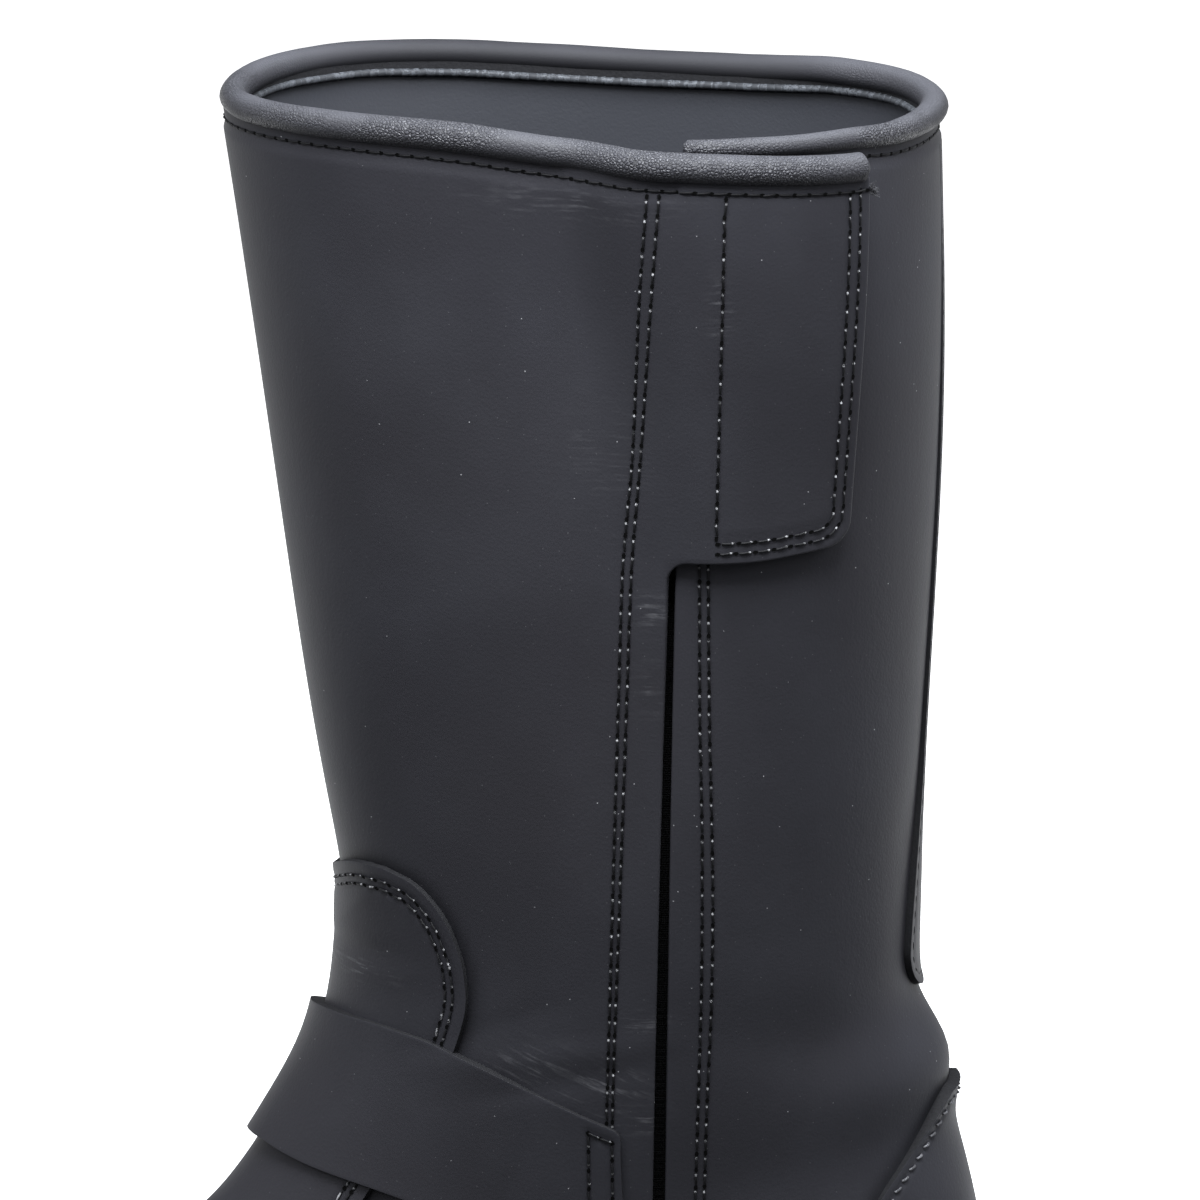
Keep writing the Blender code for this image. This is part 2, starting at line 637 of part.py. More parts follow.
def make_tab():
    """The closure tab, which starts flat on the front panel and laps over the slot and the rear panel."""
    across = np.linspace(0.0, 1.0, TAB_COLUMNS + 1)[None, :]
    up = np.linspace(0.0, 1.0, TAB_ROWS + 1)[:, None]
    around = between(TAB_FRONT, up) + (between(TAB_REAR, up) - between(TAB_FRONT, up)) * across
    corner = np.clip((across - 1.0 + TAB_CORNER_SHARE) / TAB_CORNER_SHARE, 0.0, 1.0)
    low = TAB_LOW_Z + TAB_CORNER * (1.0 - np.sqrt(1.0 - 0.98 * corner**2))
    high = RIM_Z - GAP - binding_drop(2.0 + around[-1:])
    height = height_at(around, low + (high - low) * up)
    middle = slot_around(np.full((1,), float(RIM)))[0]
    lapped = ramp(around, (TAB_FRONT[0] + 0.01, middle + 0.03))
    rise = GAP + lapped * (between((TAB_LIFT_LOW, TAB_LIFT_RIM), smooth(up)) - GAP)
    outer = lifted(around, height, rise + OVERLAY)
    inner = lifted(around, height, rise)
    add_sheet("closure_tab", outer, inner, "leather")


def make_binding():
    """The rolled collar binding, which ends on the tab and overlaps its own start."""
    way = np.linspace(BINDING_START, BINDING_END, BINDING_STATIONS + 1)
    out = rim_value("out", way) + BINDING_OUT * ramp(way, BINDING_STEP)
    radius = rim_value("radius", way)
    rim = np.full(way.shape, float(RIM))
    middle = skin(way, rim) + skin_normal(way, rim, level=True) * out[:, None]
    middle[:, 2] = RIM_Z + rim_value("rise", way) + GAP + radius - binding_drop(way)
    along = np.gradient(middle, axis=0)
    along /= np.linalg.norm(along, axis=1, keepdims=True)
    side = np.cross(along, (0.0, 0.0, 1.0))
    side /= np.linalg.norm(side, axis=1, keepdims=True)
    over = np.cross(side, along)
    turn = 2.0 * np.pi * np.arange(BINDING_SIDES) / BINDING_SIDES
    rings = middle[:, None] + radius[:, None, None] * (
        np.cos(turn)[None, :, None] * side[:, None] + np.sin(turn)[None, :, None] * over[:, None]
    )
    add_sweep("collar_binding", rings, "binding")


def make_zip():
    """The zip's tape behind the slot and its closed row of teeth standing in the slot."""
    back = WALL + TAPE_GAP
    tape = TAPE_WIDTH / 2.0
    teeth = TEETH_WIDTH / 2.0
    profile = [(-tape, back + TAPE_THICK), (tape, back + TAPE_THICK), (tape, back), (teeth, back)]
    profile += [(teeth, TEETH_DEPTH), (-teeth, TEETH_DEPTH), (-teeth, back), (-tape, back)]
    offset, depth = np.array(profile).T
    middle = np.full(ZIP_ROWS + 1, 0.6)
    for _ in range(6):
        height = height_at(middle, np.linspace(ZIP_LOW_Z, ZIP_HIGH_Z, ZIP_ROWS + 1))
        middle = slot_around(height)
    around = middle[:, None] + offset / arc_rate(middle, height)[:, None]
    rings = lifted(around, height[:, None], np.broadcast_to(-depth, around.shape))
    add_sweep("zip", rings, "tape")


def sole_place(around, across, outward, under):
    """A grid of points under the featherline, from the outer to the inner edge of the sole."""
    around = np.asarray(around, float)
    s = (1.0 + np.cos(np.pi * around)) / 2.0
    ground = np.zeros(around.shape)
    outward = outward(s)[:, None]
    inner = skin(around, ground) + skin_normal(around, ground, level=True) * outward
    outer = skin(-around, ground) + skin_normal(-around, ground, level=True) * outward
    share = np.asarray(across, float)[None, :, None]
    grid = outer[:, None] * (1.0 - share) + inner[:, None] * share
    grid[..., 2] -= under
    return grid


def sole_edge(s):
    """How far the sole stands out past the upper at a share of its length."""
    return between((EDGE_HEEL, EDGE_FORE), ramp(s, EDGE_BLEND))


def sole_around(x):
    """Where round the featherline the distance from the back is x."""
    return around_at(np.zeros(np.shape(x)), np.asarray(x, float))


EDGES = (0.0, 1.0)
PLATE_AROUND = np.linspace(0.0, 1.0, 37)


def make_midsole():
    """The welted midsole plate, whose edge shows round the upper."""
    top = sole_place(PLATE_AROUND, EDGES, sole_edge, GAP)
    base = sole_place(PLATE_AROUND, EDGES, sole_edge, GAP + MIDSOLE_THICK)
    add_plate("midsole", top, base, base, np.zeros((len(PLATE_AROUND) - 1, 1), bool), "edge")


def make_insole():
    """The insole board inside the upper."""

    def inset(s):
        return np.full(s.shape, -WALL - INSOLE_PLAY)

    top = sole_place(PLATE_AROUND, EDGES, inset, -INSOLE_THICK)
    base = sole_place(PLATE_AROUND, EDGES, inset, 0.0)
    add_plate("insole", top, base, base, np.zeros((len(PLATE_AROUND) - 1, 1), bool), "board")


def make_outsole():
    """The outsole plate with lugs under the toe and the ball."""
    toe = np.linspace(0.0, TOE_LUG_AROUND, 7)
    lug_front = FEATHER.back_x + (FEATHER.front_x - FEATHER.back_x) * (1.0 + np.cos(np.pi * toe[-1])) / 2.0
    pitch = LUG_LENGTH + LUG_GROOVE
    starts = lug_front - LUG_GROOVE - pitch * np.arange(LUG_ROWS)
    lug_edges = np.stack([starts, starts - LUG_LENGTH], axis=1).reshape(-1)
    waist = np.linspace(sole_around(lug_edges[-1]), 1.0, WAIST_ROWS + 1)[1:]
    around = np.concatenate([toe, sole_around(lug_edges), waist])
    lugs = np.zeros((len(around) - 1, len(LUG_ACROSS) - 1), bool)
    lugs[: len(toe) - 1] = True
    lug_rows = len(toe) + 2 * np.arange(LUG_ROWS)
    lugs[lug_rows, ::2] = True
    under = GAP + MIDSOLE_THICK + GAP
    top = sole_place(around, LUG_ACROSS, sole_edge, under)
    base = sole_place(around, LUG_ACROSS, sole_edge, under + OUTSOLE_THICK)
    low = base.copy()
    low[..., 2] = np.maximum(0.0, low[..., 2] - LUG_DEPTH)
    add_plate("outsole", top, base, low, lugs, "rubber")


def make_heel():
    """The heel block with a hollow breast and two grooves along its foot."""
    around = np.linspace(1.0, sole_around(HEEL_BREAST_X), 15)
    under = GAP + MIDSOLE_THICK + GAP + OUTSOLE_THICK + GAP

    def seat(s):
        return sole_edge(s) - GAP

    def foot(s):
        return sole_edge(s) - GAP - HEEL_TAPER

    top = sole_place(around, HEEL_ACROSS, seat, under)
    base = sole_place(around, HEEL_ACROSS, foot, under)
    share = np.asarray(HEEL_ACROSS)
    hollow = HEEL_BREAST_HOLLOW * (1.0 - (2.0 * share - 1.0) ** 2)
    forward = ramp(around, (around[0], around[-1]))[:, None]
    top[..., 0] -= hollow * forward
    base[..., 0] -= hollow * forward
    low = base.copy()
    base[..., 2] = HEEL_GROOVE_DEPTH
    low[..., 2] = 0.0
    lugs = np.zeros((len(around) - 1, len(share) - 1), bool)
    lugs[:, ::2] = True
    lugs[:3] = True
    add_plate("heel", top, base, low, lugs, "rubber")


def main():
    for thing in list(bpy.data.objects):
        bpy.data.objects.remove(thing)
    make_outsole()
    make_heel()
    make_midsole()
    make_insole()
    make_upper()
    make_vamp()
    make_counter()
    make_backstay()
    make_strap()
    make_zip()
    make_tab()
    make_binding()


if __name__ == "__main__":
    main()
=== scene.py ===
import math
from collections import namedtuple

import bmesh
import bpy
import numpy as np
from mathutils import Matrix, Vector
from mathutils.kdtree import KDTree


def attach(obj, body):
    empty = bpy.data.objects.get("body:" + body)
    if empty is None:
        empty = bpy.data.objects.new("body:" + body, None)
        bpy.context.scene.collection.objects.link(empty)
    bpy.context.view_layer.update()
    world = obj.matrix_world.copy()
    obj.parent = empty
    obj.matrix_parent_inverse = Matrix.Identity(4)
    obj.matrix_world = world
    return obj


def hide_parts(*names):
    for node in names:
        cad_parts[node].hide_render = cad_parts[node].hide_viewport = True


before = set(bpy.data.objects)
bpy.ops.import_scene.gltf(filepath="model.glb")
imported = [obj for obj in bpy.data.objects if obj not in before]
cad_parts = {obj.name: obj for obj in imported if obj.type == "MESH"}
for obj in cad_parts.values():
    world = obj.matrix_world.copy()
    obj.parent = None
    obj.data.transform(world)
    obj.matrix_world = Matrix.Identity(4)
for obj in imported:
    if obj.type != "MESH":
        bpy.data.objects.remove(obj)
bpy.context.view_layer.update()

# A right motorcycle boot in black leather. Sizes and tables are in millimetres, measured from behind the heel
# and from the ground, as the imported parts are; every mesh is placed in metres round the parts' own origin.
MM = 0.001
ORIGIN = (147.21, 2.88, 0.0)

# Leather and gaps
UPPER_THICK = 1.8
UPPER_ROUND = 0.4
OVERLAY_DEPTH = 2.3
OVERLAY_ROUND = 0.35
STRAP_DEPTH = 3.0
GAP = 0.3
LINING_OUT = -1.95
LINING_THICK = 0.65
LINING_FOOT = 0.35
SHEET_ROUND = 0.2

# Sections of the outer leather surface, from the featherline (where the upper meets the sole) to the rim.
# Each is a ring from a back point to a front point. sag is how far the ring dips between them, heel_half and
# ball_half are its half widths, waist draws the arch in, back_round and front_round are the shares of the
# length that the rounded ends take, and power is their fullness. skew makes the inner side's front end longer
# and back_skew its back end shorter, shift moves the ring inwards, and swing turns its toe inwards.
Section = namedtuple(
    "Section",
    "name back_x back_z front_x front_z sag heel_half ball_half waist "
    "back_round front_round power skew back_skew shift swing",
)
SECTIONS = [
    Section("featherline", 5.0, 34.0, 288.0, 24.0, 13.0, 31.0, 47.5, 5.0, 0.13, 0.40, 2.25, 0.04, 0, 0, 7.0),
    Section("toe_bulge", 3.6, 44.0, 290.0, 33.0, 12.0, 33.0, 49.0, 5.0, 0.13, 0.40, 2.25, 0.04, 0, 0, 7.0),
    Section("toe_shoulder", 2.6, 54.0, 284.0, 42.5, 10.0, 34.0, 46.5, 3.0, 0.14, 0.45, 2.20, 0.04, 0, 0, 6.5),
    Section("toe_box", 2.5, 63.0, 270.0, 48.5, 8.0, 34.5, 42.5, 1.5, 0.15, 0.50, 2.15, 0.03, 0, 0, 6.0),
    Section("vamp_low", 2.8, 71.0, 245.0, 53.0, 6.0, 34.5, 39.5, 0, 0.17, 0.56, 2.10, 0.03, 0, 0, 5.0),
    Section("vamp_mid", 4.2, 79.5, 214.0, 58.5, 4.5, 34.3, 38.0, 0, 0.20, 0.62, 2.05, 0.02, 0, 0, 4.0),
    Section("vamp_high", 6.0, 88.5, 184.0, 65.5, 3.0, 34.0, 37.5, 0, 0.24, 0.64, 2.00, 0.01, 0, 0, 3.0),
    Section("instep_low", 8.2, 98.0, 160.0, 74.5, 2.0, 33.8, 37.5, 0, 0.30, 0.64, 2.00, 0, 0, 0.3, 2.0),
    Section("instep", 9.9, 108.0, 144.6, 86.5, 1.0, 34.2, 37.5, 0, 0.36, 0.62, 2.00, 0, 0, 0.6, 1.0),
    Section("strap", 9.4, 118.5, 133.4, 103.0, 0.5, 35.4, 38.0, 0, 0.42, 0.58, 2.02, 0, 0, 1.0, 0.5),
    Section("throat", 14.8, 129.5, 125.2, 119.5, 0, 37.2, 38.6, 0, 0.46, 0.54, 2.06, 0, 0, 1.4, 0),
    Section("ankle", 16.1, 142.0, 121.9, 137.0, 0, 38.8, 39.2, 0, 0.48, 0.52, 2.10, 0.01, 0.01, 1.8, 0),
    Section("throat_top", 15.75, 157.0, 122.6, 153.0, 0, 40.0, 40.2, 0, 0.48, 0.52, 2.10, 0.02, 0.02, 2.2, 0),
    Section("shaft_low", 14.65, 178.0, 126.6, 176.0, 0, 41.0, 41.2, 0, 0.48, 0.52, 2.10, 0.05, 0.05, 2.7, 0),
    Section("shaft_mid", 13.0, 207.0, 131.1, 206.0, 0, 42.2, 42.4, 0, 0.49, 0.51, 2.10, 0.08, 0.08, 3.2, 0),
    Section("shaft_high", 11.65, 237.0, 135.3, 237.0, 0, 43.2, 43.6, 0, 0.50, 0.50, 2.08, 0.11, 0.11, 3.7, 0),
    Section("collar", 11.25, 266.0, 139.5, 266.0, 0, 44.0, 44.6, 0, 0.51, 0.49, 2.06, 0.13, 0.13, 4.0, 0),
    Section("rim", 11.9, 293.0, 143.6, 293.0, 0, 44.4, 45.0, 0, 0.51, 0.49, 2.05, 0.14, 0.14, 4.2, 0),
]
FEATHER = SECTIONS[0]
RIM = len(SECTIONS) - 1
RIM_Z = SECTIONS[RIM].back_z

# The rim's waves, from the slot's rear edge round to its front edge: how far the rim rises over its level,
# the radius of the roll on it, and how far the roll's middle lies outside the leather. way is 1 at the back,
# 1.5 on the outer side and 2 at the front; the rise fades in from the height RISE_FROM.
RimPlace = namedtuple("RimPlace", "way rise radius out")
RIM_PLACES = [
    RimPlace(0.60, 3.0, 1.8, -0.6),
    RimPlace(0.71, 2.9, 1.9, -0.6),
    RimPlace(0.78, 2.6, 2.1, -1.0),
    RimPlace(0.86, 1.7, 2.3, -1.1),
    RimPlace(1.00, 2.0, 2.6, -1.3),
    RimPlace(1.16, 2.9, 2.65, -2.2),
    RimPlace(1.24, 2.8, 2.65, -2.4),
    RimPlace(1.36, 1.3, 2.65, -1.3),
    RimPlace(1.46, 0.9, 2.65, -1.3),
    RimPlace(1.55, 1.3, 2.65, -1.3),
    RimPlace(1.65, 2.0, 2.65, -1.3),
    RimPlace(1.78, 2.7, 2.65, -1.3),
    RimPlace(2.00, 2.6, 2.65, -2.4),
    RimPlace(2.16, 2.75, 2.65, -1.5),
    RimPlace(2.30, 2.9, 2.8, -1.3),
    RimPlace(2.36, 2.8, 2.85, -1.3),
    RimPlace(2.41, 2.4, 2.85, -1.3),
    RimPlace(2.45, 1.6, 2.85, -1.3),
    RimPlace(2.50, 0.6, 2.85, -1.3),
    RimPlace(2.56, 0.0, 2.85, -1.3),
]
RISE_FROM = 14.8

# Stations along a ring, as shares of its length
HEEL_STATION = 0.16
BALL_STATION = 0.66
WAIST_STATION = 0.40
WAIST_SPAN = 0.24
INNER_WAIST = 1.5
OUTER_WAIST = 0.5
SWING_SPAN = (0.4, 1.0)

# Soft folds of the leather: where their middles lie round the boot and over the ground, their sizes, how far
# they turn from level in degrees, and how far they rise, or sink where that is negative. Beside a fold the
# leather gives way by a share of its height, over a wider strip.
Fold = namedtuple("Fold", "around z half_length half_width turn rise")
FOLDS = [
    Fold(0.43, 126.0, 17.0, 2.6, 10.0, 0.30),
    Fold(0.45, 121.0, 15.0, 2.2, 14.0, -0.25),
    Fold(0.36, 131.0, 13.0, 2.4, 22.0, -0.22),
    Fold(0.72, 126.0, 20.0, 6.0, -18.0, -0.25),
    Fold(0.78, 136.0, 16.0, 5.5, -24.0, 0.20),
    Fold(0.70, 145.0, 18.0, 7.0, -12.0, -0.14),
    Fold(-0.42, 130.0, 24.0, 4.5, -14.0, -0.60),
    Fold(-0.40, 141.0, 22.0, 5.0, -10.0, 0.40),
    Fold(-0.70, 128.0, 22.0, 5.5, 16.0, -0.60),
    Fold(-0.68, 142.0, 20.0, 6.0, 10.0, 0.35),
    Fold(-0.55, 168.0, 26.0, 8.0, 6.0, -0.35),
    Fold(0.10, 141.0, 16.0, 2.2, 4.0, -0.25),
    Fold(0.16, 136.5, 14.0, 2.0, 8.0, 0.18),
    Fold(-0.12, 139.0, 16.0, 2.4, -5.0, -0.28),
    Fold(0.30, 200.0, 30.0, 14.0, 70.0, -0.35),
    Fold(0.36, 255.0, 34.0, 16.0, 80.0, 0.35),
    Fold(-0.35, 235.0, 40.0, 16.0, 96.0, -0.45),
    Fold(-0.65, 215.0, 40.0, 15.0, 84.0, 0.40),
    Fold(0.86, 200.0, 36.0, 12.0, 92.0, -0.30),
]
FOLD_ARC = 165.0
FOLD_SHOULDER = 0.35
FOLD_SHOULDER_WIDTH = 2.2

# The flex creases across the vamp: where they cross its middle, how deep they are, and how they lean
Flex = namedtuple("Flex", "x half_width rise lean")
FLEXES = [
    Flex(198.0, 3.2, -0.55, 0.10),
    Flex(207.0, 3.6, 0.40, 0.06),
    Flex(216.0, 3.4, -0.60, 0.00),
    Flex(226.0, 4.0, 0.35, -0.05),
]
FLEX_REACH = 0.42
FLEX_MIDDLE_Y = 5.0
FLEX_FADE = (1.5, 4.0)
FLEX_TOP = 9.0

# The ditch under the roll, where its stitches lie: how far under the rim it is, its depth and half width, and
# the millimetres to a section there
DITCH_UNDER = 0.9
DITCH_DEPTH = 0.5
DITCH_HALF = 1.1
SECTION_RISE = 27.0

# The upper: rows under and over the strap, columns, the zip's slot, and the tab that laps over it.
# BESIDE_SLOT, SLOT_GUESS and ROW_GUESS are places round the boot near the slot; searches start from the
# last two.
LOW_ROWS = 45
LOW_TOP = 9.4
SHAFT_STEP = 1.35
PANEL_ENDS = 0.045
PANEL_END_COLUMNS = 19
PANEL_COLUMNS = 160
BESIDE_SLOT = 0.57
SLOT_GUESS = 0.6
ROW_GUESS = 0.55
SLOT_X_TOP = 56.8
SLOT_SLOPE = 0.022
SLOT_WIDTH = (2.3, 1.5)
SLOT_WIDTH_Z = (100.0, 210.0)
SLOT_END_Z = (62.0, 65.5)
TAB_COLUMNS = 46
TAB_LOW_Z = 222.0
TAB_LOW = [(0.0, TAB_LOW_Z), (0.4, 222.2), (0.7, 223.2), (1.0, 224.4)]
TAB_REAR = (0.762, 0.777)
TAB_CORNER = 4.5
TAB_CORNER_SHARE = 0.14
CORNER_FULLNESS = 0.98
TAB_INNER_RADIUS = 3.6
TAB_LIFT = (3.0, 6.6)
TAB_LIFT_FROM = (-0.050, -0.115)
TAB_LIFT_TO = (0.045, -0.022)
TAB_FADE_Z = (178.0, TAB_LOW_Z)
RIM_RISE = 1.6

# The zip behind the slot
TAPE_WIDTH = 22.0
TAPE_OUT = -3.0
TAPE_THICK = 0.7
TAPE_ROUND = 0.15
COIL_PITCH = 1.35
COIL_IN = 0.2
COIL_REACH = 0.95
COIL_RADIUS = 0.24
ZIP_Z = (67.0, 289.0)

# Edges of the vamp and the heel counter: how far from the back they lie at each height. Their faces lie over
# the upper by the first lift at the front or back seam and by the second at the sides.
Edge = namedtuple("Edge", "height x")
VAMP_EDGE = [
    Edge(0.12, 160.0),
    Edge(1.5, 156.0),
    Edge(3.0, 149.0),
    Edge(5.0, 139.5),
    Edge(7.0, 128.0),
    Edge(8.4, 115.5),
    Edge(9.4, 105.0),
    Edge(10.3, 98.3),
    Edge(10.85, 96.2),
    Edge(11.22, 96.7),
    Edge(11.52, 98.0),
    Edge(11.81, 100.0),
    Edge(12.04, 103.1),
    Edge(12.19, 106.8),
    Edge(12.27, 112.0),
]
VAMP_TOP = VAMP_EDGE[-1].height
THROAT_DIP = 0.34
THROAT_DIP_HALF = 0.24
THROAT_DIP_AROUND = -0.06
THROAT_DIP_START = 10.0
COUNTER_EDGE = [
    Edge(0.12, 67.0),
    Edge(1.5, 60.0),
    Edge(3.2, 48.0),
    Edge(4.6, 37.0),
    Edge(5.7, 28.5),
    Edge(7.02, 21.1),
    Edge(7.41, 17.9),
    Edge(7.69, 15.6),
    Edge(7.98, 13.5),
    Edge(8.3, 11.4),
    Edge(8.45, 10.3),
]
COUNTER_TOP = COUNTER_EDGE[-1].height
COUNTER_FLARE = 0.4
COUNTER_FLARE_FROM = (7.6, COUNTER_TOP)
COUNTER_LIFT = (1.95, 1.35)
COUNTER_BACK = (0.04, 0.20)
VAMP_LIFT = (2.3, 1.15)
VAMP_FRONT = (0.05, 0.24)
VAMP_LIP = (11.3, 12.2)
VAMP_LIP_SHARE = 0.8
VAMP_FINE_FROM = 11.0
VAMP_INSETS = (2.7, 4.3)
COUNTER_INSET = -1.9
COUNTER_PITCH = 2.7
COUNTER_SLANT = -0.35
OVERLAY_FOOT = 0.12
EDGE_PULL = 0.6

# Back stay: its shape, how far its face lies over the upper at heights over the ground, and its stitches,
# which are sunk into it
STAY_HALF = 9.5
STAY_NARROW = 4.0
STAY_TAPER_Z = (138.0, 178.0)
STAY_Z = (131.0, 291.5)
STAY_LIFT = [(131.0, 1.35), (150.0, 1.4), (165.0, 1.15), (185.0, 0.8), (237.0, 0.5), (278.0, 0.05)]
STAY_INSET = 2.0
STAY_PITCH = 3.0
STAY_SUNK = 0.3

# Instep strap: its lower and upper edges round the boot, as heights over the ground, its ends, how far its
# face lies over the upper at places round the boot, and its stitches. It slopes down towards the outer side.
StrapPlace = namedtuple("StrapPlace", "around low_z high_z")
STRAP = [
    StrapPlace(-0.58, 81.2, 108.4),
    StrapPlace(-0.50, 84.0, 111.2),
    StrapPlace(-0.42, 86.6, 113.8),
    StrapPlace(-0.34, 89.0, 115.6),
    StrapPlace(-0.20, 92.6, 118.4),
    StrapPlace(-0.10, 95.9, 120.9),
    StrapPlace(0.0, 97.9, 124.9),
    StrapPlace(0.05, 98.9, 126.4),
    StrapPlace(0.10, 99.5, 127.5),
    StrapPlace(0.20, 98.8, 128.1),
    StrapPlace(0.27, 97.9, 127.4),
    StrapPlace(0.34, 96.0, 124.6),
    StrapPlace(0.42, 92.0, 119.3),
    StrapPlace(0.50, 86.8, 113.2),
    StrapPlace(0.58, 81.4, 107.6),
]
STRAP_END_X = 67.6
STRAP_LIFT = [(0.0, 5.1), (0.06, 4.9), (0.20, 2.4), (0.335, 1.9), (0.43, 0.95)]
STRAP_CORNER = 2.0
STRAP_WIDTH = 27.0
STRAP_HALF_LENGTH = 82.0
STRAP_END_GUESS = 0.52
STRAP_ROWS = (2.0, 6.3)
STRAP_ROW_SPAN = (0.09, 0.91)
STRAP_CROSS_PITCH = 2.2

# Collar roll: from the slot's rear edge round the rim and on along the tab; way counts on past a full turn
ROLL_START = 0.606
ROLL_STEP = (2.50, 2.585)
ROLL_OUT = 6.9
ROLL_DROP = 2.1
ROLL_DROP_FROM = 2.55
ROLL_END = 2.775
ROLL_SWAY = 0.12
ROLL_LUMPS = 0.08
ROLL_FINE_LUMPS = 0.03
ROLL_END_SHARE = 0.62
ROLL_FLAT = 0.10
FACING_Z = (-0.6, 2.6)
FACING_OUT = -2.75
FACING_THICK = 0.75
FACING_WAY = (0.64, 2.56)
FACING_SWAY = 0.2
FACING_PITCH = 1.6

# Sole: layers under the featherline, how far its edge stands out, its lugs, how its edges are rounded, and
# its row of welt stitches
MIDSOLE_THICK = 3.7
OUTSOLE_THICK = 6.4
LUG_DEPTH = 4.6
INSOLE_THICK = 2.5
INSOLE_INSET = -3.8
EDGE_HEEL = 3.0
EDGE_FORE = 6.0
EDGE_BLEND = (0.25, 0.60)
LUG_LENGTH = 13.5
LUG_GROOVE = 5.0
LUG_ROWS = 6
TOE_LUG_AROUND = 0.12
LUG_ACROSS = (0.0, 0.22, 0.29, 0.465, 0.535, 0.71, 0.78, 1.0)
HEEL_BREAST_X = 76.0
HEEL_BREAST_HOLLOW = 4.0
HEEL_TAPER = 1.4
HEEL_GROOVE_DEPTH = 3.0
HEEL_ACROSS = (0.0, 0.3, 0.36, 0.64, 0.7, 1.0)
HEEL_SOLID_ROWS = 12
MIDSOLE_ROUND = 0.7
INSOLE_ROUND = 0.9
RUBBER_ROUND = 0.6
WELT_AROUND = 0.62
WELT_INSET = 1.9
WELT_PITCH = 4.2

# Rows of stitches on the front and rear panels: how far from the back they lie at each height over the ground
FRONT_ROW = [(66.0, 72.2), (120.0, 70.4), (157.5, 69.2), (195.6, 68.0), (219.5, 67.2), (243.0, 65.2)]
FRONT_ROW += [(271.0, 63.8), (291.0, 62.3)]
FRONT_ROW_IN = [(66.0, 70.5), (119.0, 69.4), (157.6, 67.9), (195.6, 66.5), (219.5, 65.6), (243.0, 63.7)]
FRONT_ROW_IN += [(271.0, 61.7), (291.0, 60.2)]
REAR_ROW = [(66.0, 55.4), (99.4, 54.4), (118.0, 53.8), (147.6, 53.0), (167.0, 52.9), (196.0, 53.3)]
REAR_ROW += [(232.0, 53.3)]
REAR_ROW_OUT = [(66.0, 53.8), (99.4, 52.8), (118.0, 52.2), (138.0, 51.3), (157.0, 51.0), (196.0, 51.6)]
REAR_ROW_OUT += [(232.0, 51.8)]

# Rows of stitches on the tab and under the roll: the single row's shares across the tab and its distances
# from rim and lower edge, the corner rows' insets from the rear and the lower edge with the radius of their
# turn, how high and how far across these reach, and the part of the rim that the roll's row takes
TAB_WIDTH = 33.0
TAB_ROW_ACROSS = (0.229, 0.243)
TAB_ROW_ENDS = (2.5, 5.0)
TabRow = namedtuple("TabRow", "from_rear from_low radius")
TAB_CORNER_ROWS = [TabRow(2.0, 2.0, 4.5), TabRow(4.0, 3.9, 3.0)]
TAB_CORNER_ROW_TOP = 65.9
TAB_CORNER_ROW_END = 0.748
RIM_ROW_WAY = (0.624, 2.773)
RIM_ROW_PITCH = 3.0

# Stitches: their pitch, the length and radius of their threads and how far these stand up, the holes between
# them, how far the leather sinks beside them, and how wide the painted shade along an overlay's edge is
STITCH_PITCH = 3.45
FINE_PITCH = 3.6
Thread = namedtuple("Thread", "length radius rise")
LEATHER_THREAD = Thread(2.22, 0.22, 0.22)
COUNTER_THREAD = Thread(1.62, 0.26, 0.3)
WELT_THREAD = Thread(3.36, 0.42, 0.42)
FACING_THREAD = Thread(2.0, 0.72, 0.2)
LOOSE_FIBRE = Thread(2.4, 0.055, 0.25)
# Needle holes are flat discs over the leather, near black as painted shade
HOLE_RADIUS = 0.40
HOLE_RISE = 0.05
PRESS_DEPTH = 0.22
PRESS_REACH = 0.8
EDGE_SHADE_REACH = 2.0


def smooth(t):
    """0 to 1 with level ends."""
    t = np.clip(t, 0.0, 1.0)
    return t * t * (3.0 - 2.0 * t)


def between(pair, share):
    """The value a share of the way from the first of a pair to the second."""
    return pair[0] + (pair[1] - pair[0]) * share


def ramp(value, pair):
    """0 at the first of a pair, 1 at the second, with level ends."""
    return smooth((value - pair[0]) / (pair[1] - pair[0]))


def unit(vectors):
    """Vectors of length 1."""
    return vectors / np.linalg.norm(vectors, axis=-1, keepdims=True)


def line_length(points):
    """How far along a line each of its points lies."""
    return np.concatenate([[0.0], np.cumsum(np.linalg.norm(np.diff(points, axis=0), axis=1))])


def line_at(places, knots, values):
    """Points at places along a line whose own points lie at the knots."""
    return np.stack([np.interp(places, knots, values[:, axis]) for axis in range(3)], axis=-1)


def spline_second(values):
    """Second derivatives of the natural cubic spline through each column, for unit steps."""
    count = len(values)
    matrix = np.eye(count)
    right = np.zeros_like(values)
    for row in range(1, count - 1):
        matrix[row, row - 1 : row + 2] = (1.0, 4.0, 1.0)
        right[row] = 6.0 * (values[row - 1] - 2.0 * values[row] + values[row + 1])
    return np.linalg.solve(matrix, right)


SECTION_VALUES = np.array([section[1:] for section in SECTIONS], float)
SECTION_SECOND = spline_second(SECTION_VALUES)


def section_at(height):
    """The ring's sizes at a place between two sections, as {column: array}; height counts sections."""
    height = np.clip(np.asarray(height, float), 0.0, RIM)
    below = np.minimum(height.astype(int), RIM - 1)
    b = (height - below)[..., None]
    a = 1.0 - b
    mixed = a * SECTION_VALUES[below] + b * SECTION_VALUES[below + 1]
    mixed += ((a**3 - a) * SECTION_SECOND[below] + (b**3 - b) * SECTION_SECOND[below + 1]) / 6.0
    return dict(zip(Section._fields[1:], np.moveaxis(mixed, -1, 0)))


def dip(s):
    """The curve between a ring's back and front: 0 at both ends, 1 just behind the ball."""
    return np.sin(np.pi * np.clip(s, 0.0, 1.0) ** 1.5)


